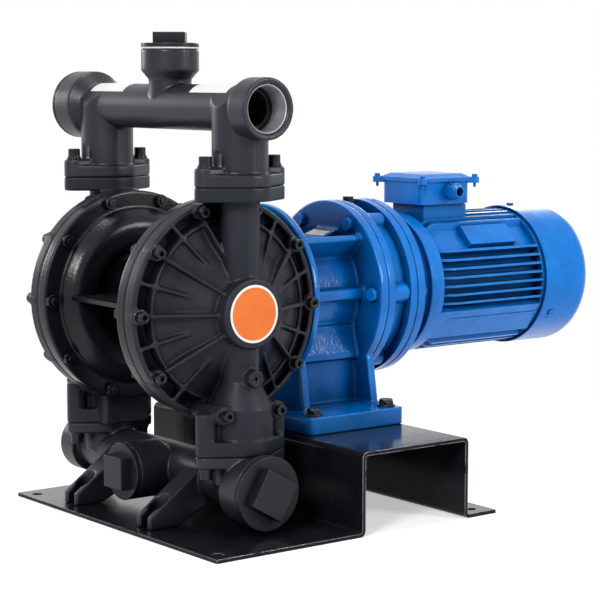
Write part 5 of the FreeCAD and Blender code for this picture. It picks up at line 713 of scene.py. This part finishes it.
class PUMP_OT_fasteners(bpy.types.Operator):
    """Blackens the bolts and cuts threads on the ends that show"""

    bl_idname = "pump.fasteners"
    bl_label = "Fasteners"

    def execute(self, context):
        pitch = context.scene.pump_sizes.bolt_pitch
        black = bare_steel("Black oxide", (0.030, 0.032, 0.038), 0.32, lines=1600.0,
                           stretch=(1.0, 1.0, 1.0), wear=0.6, bare=(0.30, 0.31, 0.34),
                           metallic=0.85, ease=0.0005)
        dress(black, "rim_bolts", "rim_nuts", "manifold_bolts", "coupling_bolts",
              "casing_screws", "drain_plugs", "rod_nuts", "foot_bolts")
        gap = 0.1 * MM
        profile = thread_profile(RIM_BOLT_R + 0.15 * MM, RIM_BOLT_R - 0.4 * MM,
                                 RIM_BOLT_R - 0.8 * MM, RIM_NUT_Y - RIM_END_Y - 2 * gap, pitch)
        rings = bmesh.new()
        for side in (-1, 1):
            for i in range(RIM_BOLTS):
                place = rim_place(2 * math.pi * i / RIM_BOLTS, side * (RIM_END_Y + gap))
                spun_ring(rings, profile, place, Vector((0, side, 0)), 20)
        new_piece("rim_bolt_threads", rings, black)
        return {"FINISHED"}


class PUMP_OT_plugs(bpy.types.Operator):
    """Finishes the pipe plugs, their seals and the labels"""

    bl_idname = "pump.plugs"
    bl_label = "Plugs and labels"

    def execute(self, context):
        colours = context.scene.pump_colours
        # Hollows round the plugs are darkened as painted shade.
        plug = painted("Dark plug", (0.016, 0.018, 0.024), (0.010, 0.012, 0.016), 0.36,
                       grain=520.0, lump=60.0, depth=0.00018, wear=0.6,
                       bare=(0.11, 0.12, 0.14), dust=0.03, ease=0.0009, specular=0.2)
        dress(plug, "discharge_plugs", "suction_plugs")
        dress(moulded("White gasket", (0.60, 0.60, 0.60), 0.5, dust=0.05), "top_gasket")
        dress(label_material(), "manifold_labels")
        dress(badge_material(colours), "round_badges")
        return {"FINISHED"}


class PUMP_OT_reducer(bpy.types.Operator):
    """Enamels the reducer and finishes its plate, plug and bolts"""

    bl_idname = "pump.reducer"
    bl_label = "Reducer"

    def execute(self, context):
        colours = context.scene.pump_colours
        sizes = context.scene.pump_sizes
        # The blue's edges take a paler blue as a painted highlight, with some rubbed paint; its hollows
        # and the underside of the barrel are darkened as painted shade.
        rough = enamelled("Blue enamel on rough iron", colours, 0.13, grain=230.0, lump=60.0,
                          lumpiness=0.9, depth=0.0005, wear=0.7, bare=colours.enamel_edge_highlight,
                          specular=0.32, grazing=0.8, shelter=0.95, reach=0.12,
                          rough_band=ROUGH_BAND)
        fine = enamelled("Blue enamel", colours, 0.17, grain=260.0, lump=50.0, lumpiness=0.8,
                         depth=0.00040, wear=0.7, bare=colours.enamel_edge_highlight, specular=0.24,
                         grazing=0.8, shelter=0.95, reach=0.07)
        dress(rough, "reducer_housing")
        dress(fine, "pin_housing", "adapter_plate", "through_bolts")
        cast_skin("reducer_housing", sizes.skin, sizes.rounding, 0.5)
        cast_skin("pin_housing", sizes.fine_skin, 5, 0.5)
        dress(bare_steel("Blackened plug", (0.02, 0.02, 0.022), 0.4, metallic=0.7), "oil_plug")
        dress(plate_material(), "nameplate")
        return {"FINISHED"}


class PUMP_OT_motor(bpy.types.Operator):
    """Enamels the motor and its terminal box"""

    bl_idname = "pump.motor"
    bl_label = "Motor"

    def execute(self, context):
        colours = context.scene.pump_colours
        # The blue's edges take a paler blue as a painted highlight, with some rubbed paint; its hollows
        # are darkened as painted shade.
        cast = enamelled("Blue enamel on the motor", colours, 0.20, grain=320.0, lump=50.0,
                         lumpiness=0.5, depth=0.00022, wear=0.7, bare=colours.enamel_edge_highlight,
                         specular=0.26, grazing=0.8, shelter=0.75)
        # The fan cover's edges are painted a paler blue as a highlight, and its hollows darkened as
        # painted shade.
        sheet = enamelled("Blue enamel on sheet", colours, 0.27, grain=900.0, lump=30.0,
                          lumpiness=0.35, depth=0.00008, wear=0.25, bare=(0.05, 0.32, 0.72),
                          specular=0.20, grazing=1.0)
        dress(cast, "motor_frame", "drive_end_shield", "rear_end_shield", "terminal_box",
              "terminal_box_lid", "cable_fittings", "motor_screws")
        dress(sheet, "fan_cover")
        dress(moulded("Black nylon", (0.018, 0.018, 0.019), 0.45, specular=0.5), "fan")
        dress(moulded("Brown board", (0.14, 0.055, 0.025), 0.4), "terminal_board")
        return {"FINISHED"}


class PUMP_OT_base(bpy.types.Operator):
    """Paints and scuffs the bent base plate"""

    bl_idname = "pump.base"
    bl_label = "Base plate"

    def execute(self, context):
        dress(steel_sheet_material(context.scene.pump_colours), "base_plate")
        return {"FINISHED"}


class PUMP_OT_inside(bpy.types.Operator):
    """Finishes the pieces inside the pump, the reducer and the motor"""

    bl_idname = "pump.inside"
    bl_label = "Inner pieces"

    def execute(self, context):
        steel = bare_steel("Ground steel", (0.50, 0.51, 0.53), 0.26, lines=1400.0,
                           stretch=(0.04, 1.0, 1.0))
        hard = bare_steel("Hardened steel", (0.42, 0.42, 0.45), 0.18, lines=2200.0,
                          stretch=(1.0, 1.0, 1.0))
        dress(steel, "motor_shaft", "output_shaft", "plunger", "diaphragm_plates")
        dress(hard, "eccentric", "eccentric_bearing", "ball_bearings", "ring_pins",
              "cycloid_disc_front", "cycloid_disc_rear", "eccentric_sleeve")
        dress(bare_steel("Bronze", (0.52, 0.33, 0.13), 0.32), "rod_bushes")
        dress(moulded("Black rubber", (0.014, 0.014, 0.015), 0.62, sheen=0.1), "diaphragm_far",
              "diaphragm_near", "rubber_seals")
        dress(moulded("White valve plastic", (0.70, 0.70, 0.67), 0.38), "valve_seats",
              "discharge_ball_far", "discharge_ball_near", "suction_ball_far",
              "suction_ball_near")
        dress(lamination_material(), "stator_core", "rotor")
        dress(winding_material(), "stator_windings")
        return {"FINISHED"}


def lamp(name, place, target, size, power):
    """A soft rectangular lamp aimed at a point."""
    data = bpy.data.lights.new(name, "AREA")
    data.shape = "RECTANGLE"
    data.size, data.size_y = size
    data.energy = power
    light = bpy.data.objects.new(name, data)
    light.location = place
    aim = Vector(target) - Vector(place)
    light.rotation_euler = aim.to_track_quat("-Z", "Y").to_euler()
    bpy.context.scene.collection.objects.link(light)


def pale_factor(t):
    """1 for rays that see the backdrop itself: camera, mirror and glass rays."""
    path = t.add("ShaderNodeLightPath").outputs
    seen = t.math("MAXIMUM", path["Is Camera Ray"], path["Is Glossy Ray"])
    return t.math("MAXIMUM", seen, path["Is Transmission Ray"])


def floor_material():
    """Pale and shadowed near the pump, plain white where it is seen far from it."""
    material, t = new_material("Pale floor", (0.9, 0.9, 0.9))
    seen = pale_factor(t)
    diffuse = t.add("ShaderNodeBsdfDiffuse", {"Color": (0.86, 0.86, 0.86, 1.0)})
    glow = t.add("ShaderNodeEmission", {"Color": (1.0, 1.0, 1.0, 1.0),
                                        "Strength": t.math("MULTIPLY", seen, 0.45)})
    near = t.add("ShaderNodeAddShader", {0: diffuse.outputs[0], 1: glow.outputs[0]})
    white = t.add("ShaderNodeEmission", {"Color": (1.0, 1.0, 1.0, 1.0), "Strength": 1.0})
    place = t.add("ShaderNodeSeparateXYZ", {0: t.coords(move=(-FLOOR_CENTRE_X, 0.0, 0.0))})
    x = place.outputs["X"]
    y = place.outputs["Y"]
    away = t.math("SQRT", t.math("ADD", t.math("MULTIPLY", x, x), t.math("MULTIPLY", y, y)))
    far = t.math("MULTIPLY", t.spread(away, FLOOR_SHADOW_R, FLOOR_PLAIN_R), seen)
    both = t.add("ShaderNodeMixShader", {0: far, 1: near.outputs[0], 2: white.outputs[0]})
    t.add("ShaderNodeOutputMaterial", {"Surface": both.outputs[0]})
    return material


class PUMP_OT_stage(bpy.types.Operator):
    """Sets the floor, the lamps, the room and the photograph's camera"""

    bl_idname = "pump.stage"
    bl_label = "Stage"

    def execute(self, context):
        stage = context.scene.pump_stage
        self.make_floor(stage.floor)
        self.make_room(stage.ambient)
        middle = (cad_low + cad_high) / 2
        lamp("Key lamp", (-2.4, -1.5, 1.9), middle, (0.7, 0.9), stage.key)
        lamp("Fill lamp", (1.6, -2.6, 1.3), middle, (0.7, 1.0), stage.fill)
        lamp("Top lamp", (0.1, 0.1, 2.7), middle, (1.1, 0.8), stage.top)
        lamp("Left rim lamp", (-0.7, 2.8, 1.0), middle, (0.9, 0.7), stage.rim)
        lamp("Right rim lamp", (2.7, 1.5, 1.3), middle, (0.9, 0.9), stage.rim)
        self.make_camera(context.scene)
        context.scene.view_settings.view_transform = "Standard"
        return {"FINISHED"}

    def make_floor(self, half):
        """A pale floor at the base plate's underside that keeps the shadow."""
        mesh = bmesh.new()
        bmesh.ops.create_grid(mesh, x_segments=2, y_segments=2, size=half)
        data = bpy.data.meshes.new("floor")
        mesh.to_mesh(data)
        mesh.free()
        data.materials.append(floor_material())
        floor = bpy.data.objects.new("floor", data)
        bpy.context.scene.collection.objects.link(floor)

    def make_room(self, ambient):
        """A white room: full white where it is seen, and dimmer as a light."""
        world = bpy.data.worlds.new("Pale room")
        bpy.context.scene.world = world
        world.use_nodes = True
        world.node_tree.nodes.clear()
        t = Tree(world.node_tree)
        strength = t.spread(pale_factor(t), 0.0, 1.0, ambient, 1.0)
        back = t.add("ShaderNodeBackground", {"Color": (1.0, 1.0, 1.0, 1.0),
                                              "Strength": strength})
        t.add("ShaderNodeOutputWorld", {"Surface": back.outputs[0]})

    def make_camera(self, scene):
        """The camera that took the photograph."""
        data = bpy.data.cameras.new("Camera")
        data.sensor_width = SENSOR
        data.lens = CAMERA_LENS
        camera = bpy.data.objects.new("Camera", data)
        turn = (Matrix.Rotation(math.radians(CAMERA_AZIMUTH), 4, "Z")
                @ Matrix.Rotation(math.radians(90.0 - CAMERA_ELEVATION), 4, "X")
                @ Matrix.Rotation(math.radians(CAMERA_ROLL), 4, "Z"))
        camera.matrix_world = Matrix.Translation(CAMERA_PLACE) @ turn
        scene.collection.objects.link(camera)
        scene.camera = camera


class PUMP_PT_panel(bpy.types.Panel):
    """The sidebar panel with every step"""

    bl_label = "Diaphragm pump"
    bl_idname = "PUMP_PT_panel"
    bl_space_type = "VIEW_3D"
    bl_region_type = "UI"
    bl_category = "Pump"

    def draw(self, context):
        scene = context.scene
        for settings in (scene.pump_colours, scene.pump_sizes, scene.pump_stage):
            box = self.layout.box()
            for key in settings.bl_rna.properties.keys():
                if key not in ("rna_type", "name"):
                    box.prop(settings, key)
        for step in STEPS:
            self.layout.operator(step.bl_idname)


STEPS = (PUMP_OT_groups, PUMP_OT_castings, PUMP_OT_port_thread, PUMP_OT_fasteners,
         PUMP_OT_plugs, PUMP_OT_reducer, PUMP_OT_motor, PUMP_OT_base, PUMP_OT_inside,
         PUMP_OT_stage)
CLASSES = (PumpColours, PumpSizes, PumpStage) + STEPS + (PUMP_PT_panel,)


def register():
    """Adds the settings, the steps and the panel."""
    for cls in CLASSES:
        bpy.utils.register_class(cls)
    bpy.types.Scene.pump_colours = PointerProperty(type=PumpColours)
    bpy.types.Scene.pump_sizes = PointerProperty(type=PumpSizes)
    bpy.types.Scene.pump_stage = PointerProperty(type=PumpStage)


def unregister():
    """Takes them away again."""
    del bpy.types.Scene.pump_stage
    del bpy.types.Scene.pump_sizes
    del bpy.types.Scene.pump_colours
    for cls in reversed(CLASSES):
        bpy.utils.unregister_class(cls)


def main():
    """Runs every step in order."""
    register()
    bpy.ops.pump.groups()
    bpy.ops.pump.castings()
    bpy.ops.pump.port_thread()
    bpy.ops.pump.fasteners()
    bpy.ops.pump.plugs()
    bpy.ops.pump.reducer()
    bpy.ops.pump.motor()
    bpy.ops.pump.base()
    bpy.ops.pump.inside()
    bpy.ops.pump.stage()


if __name__ == "__main__":
    main()
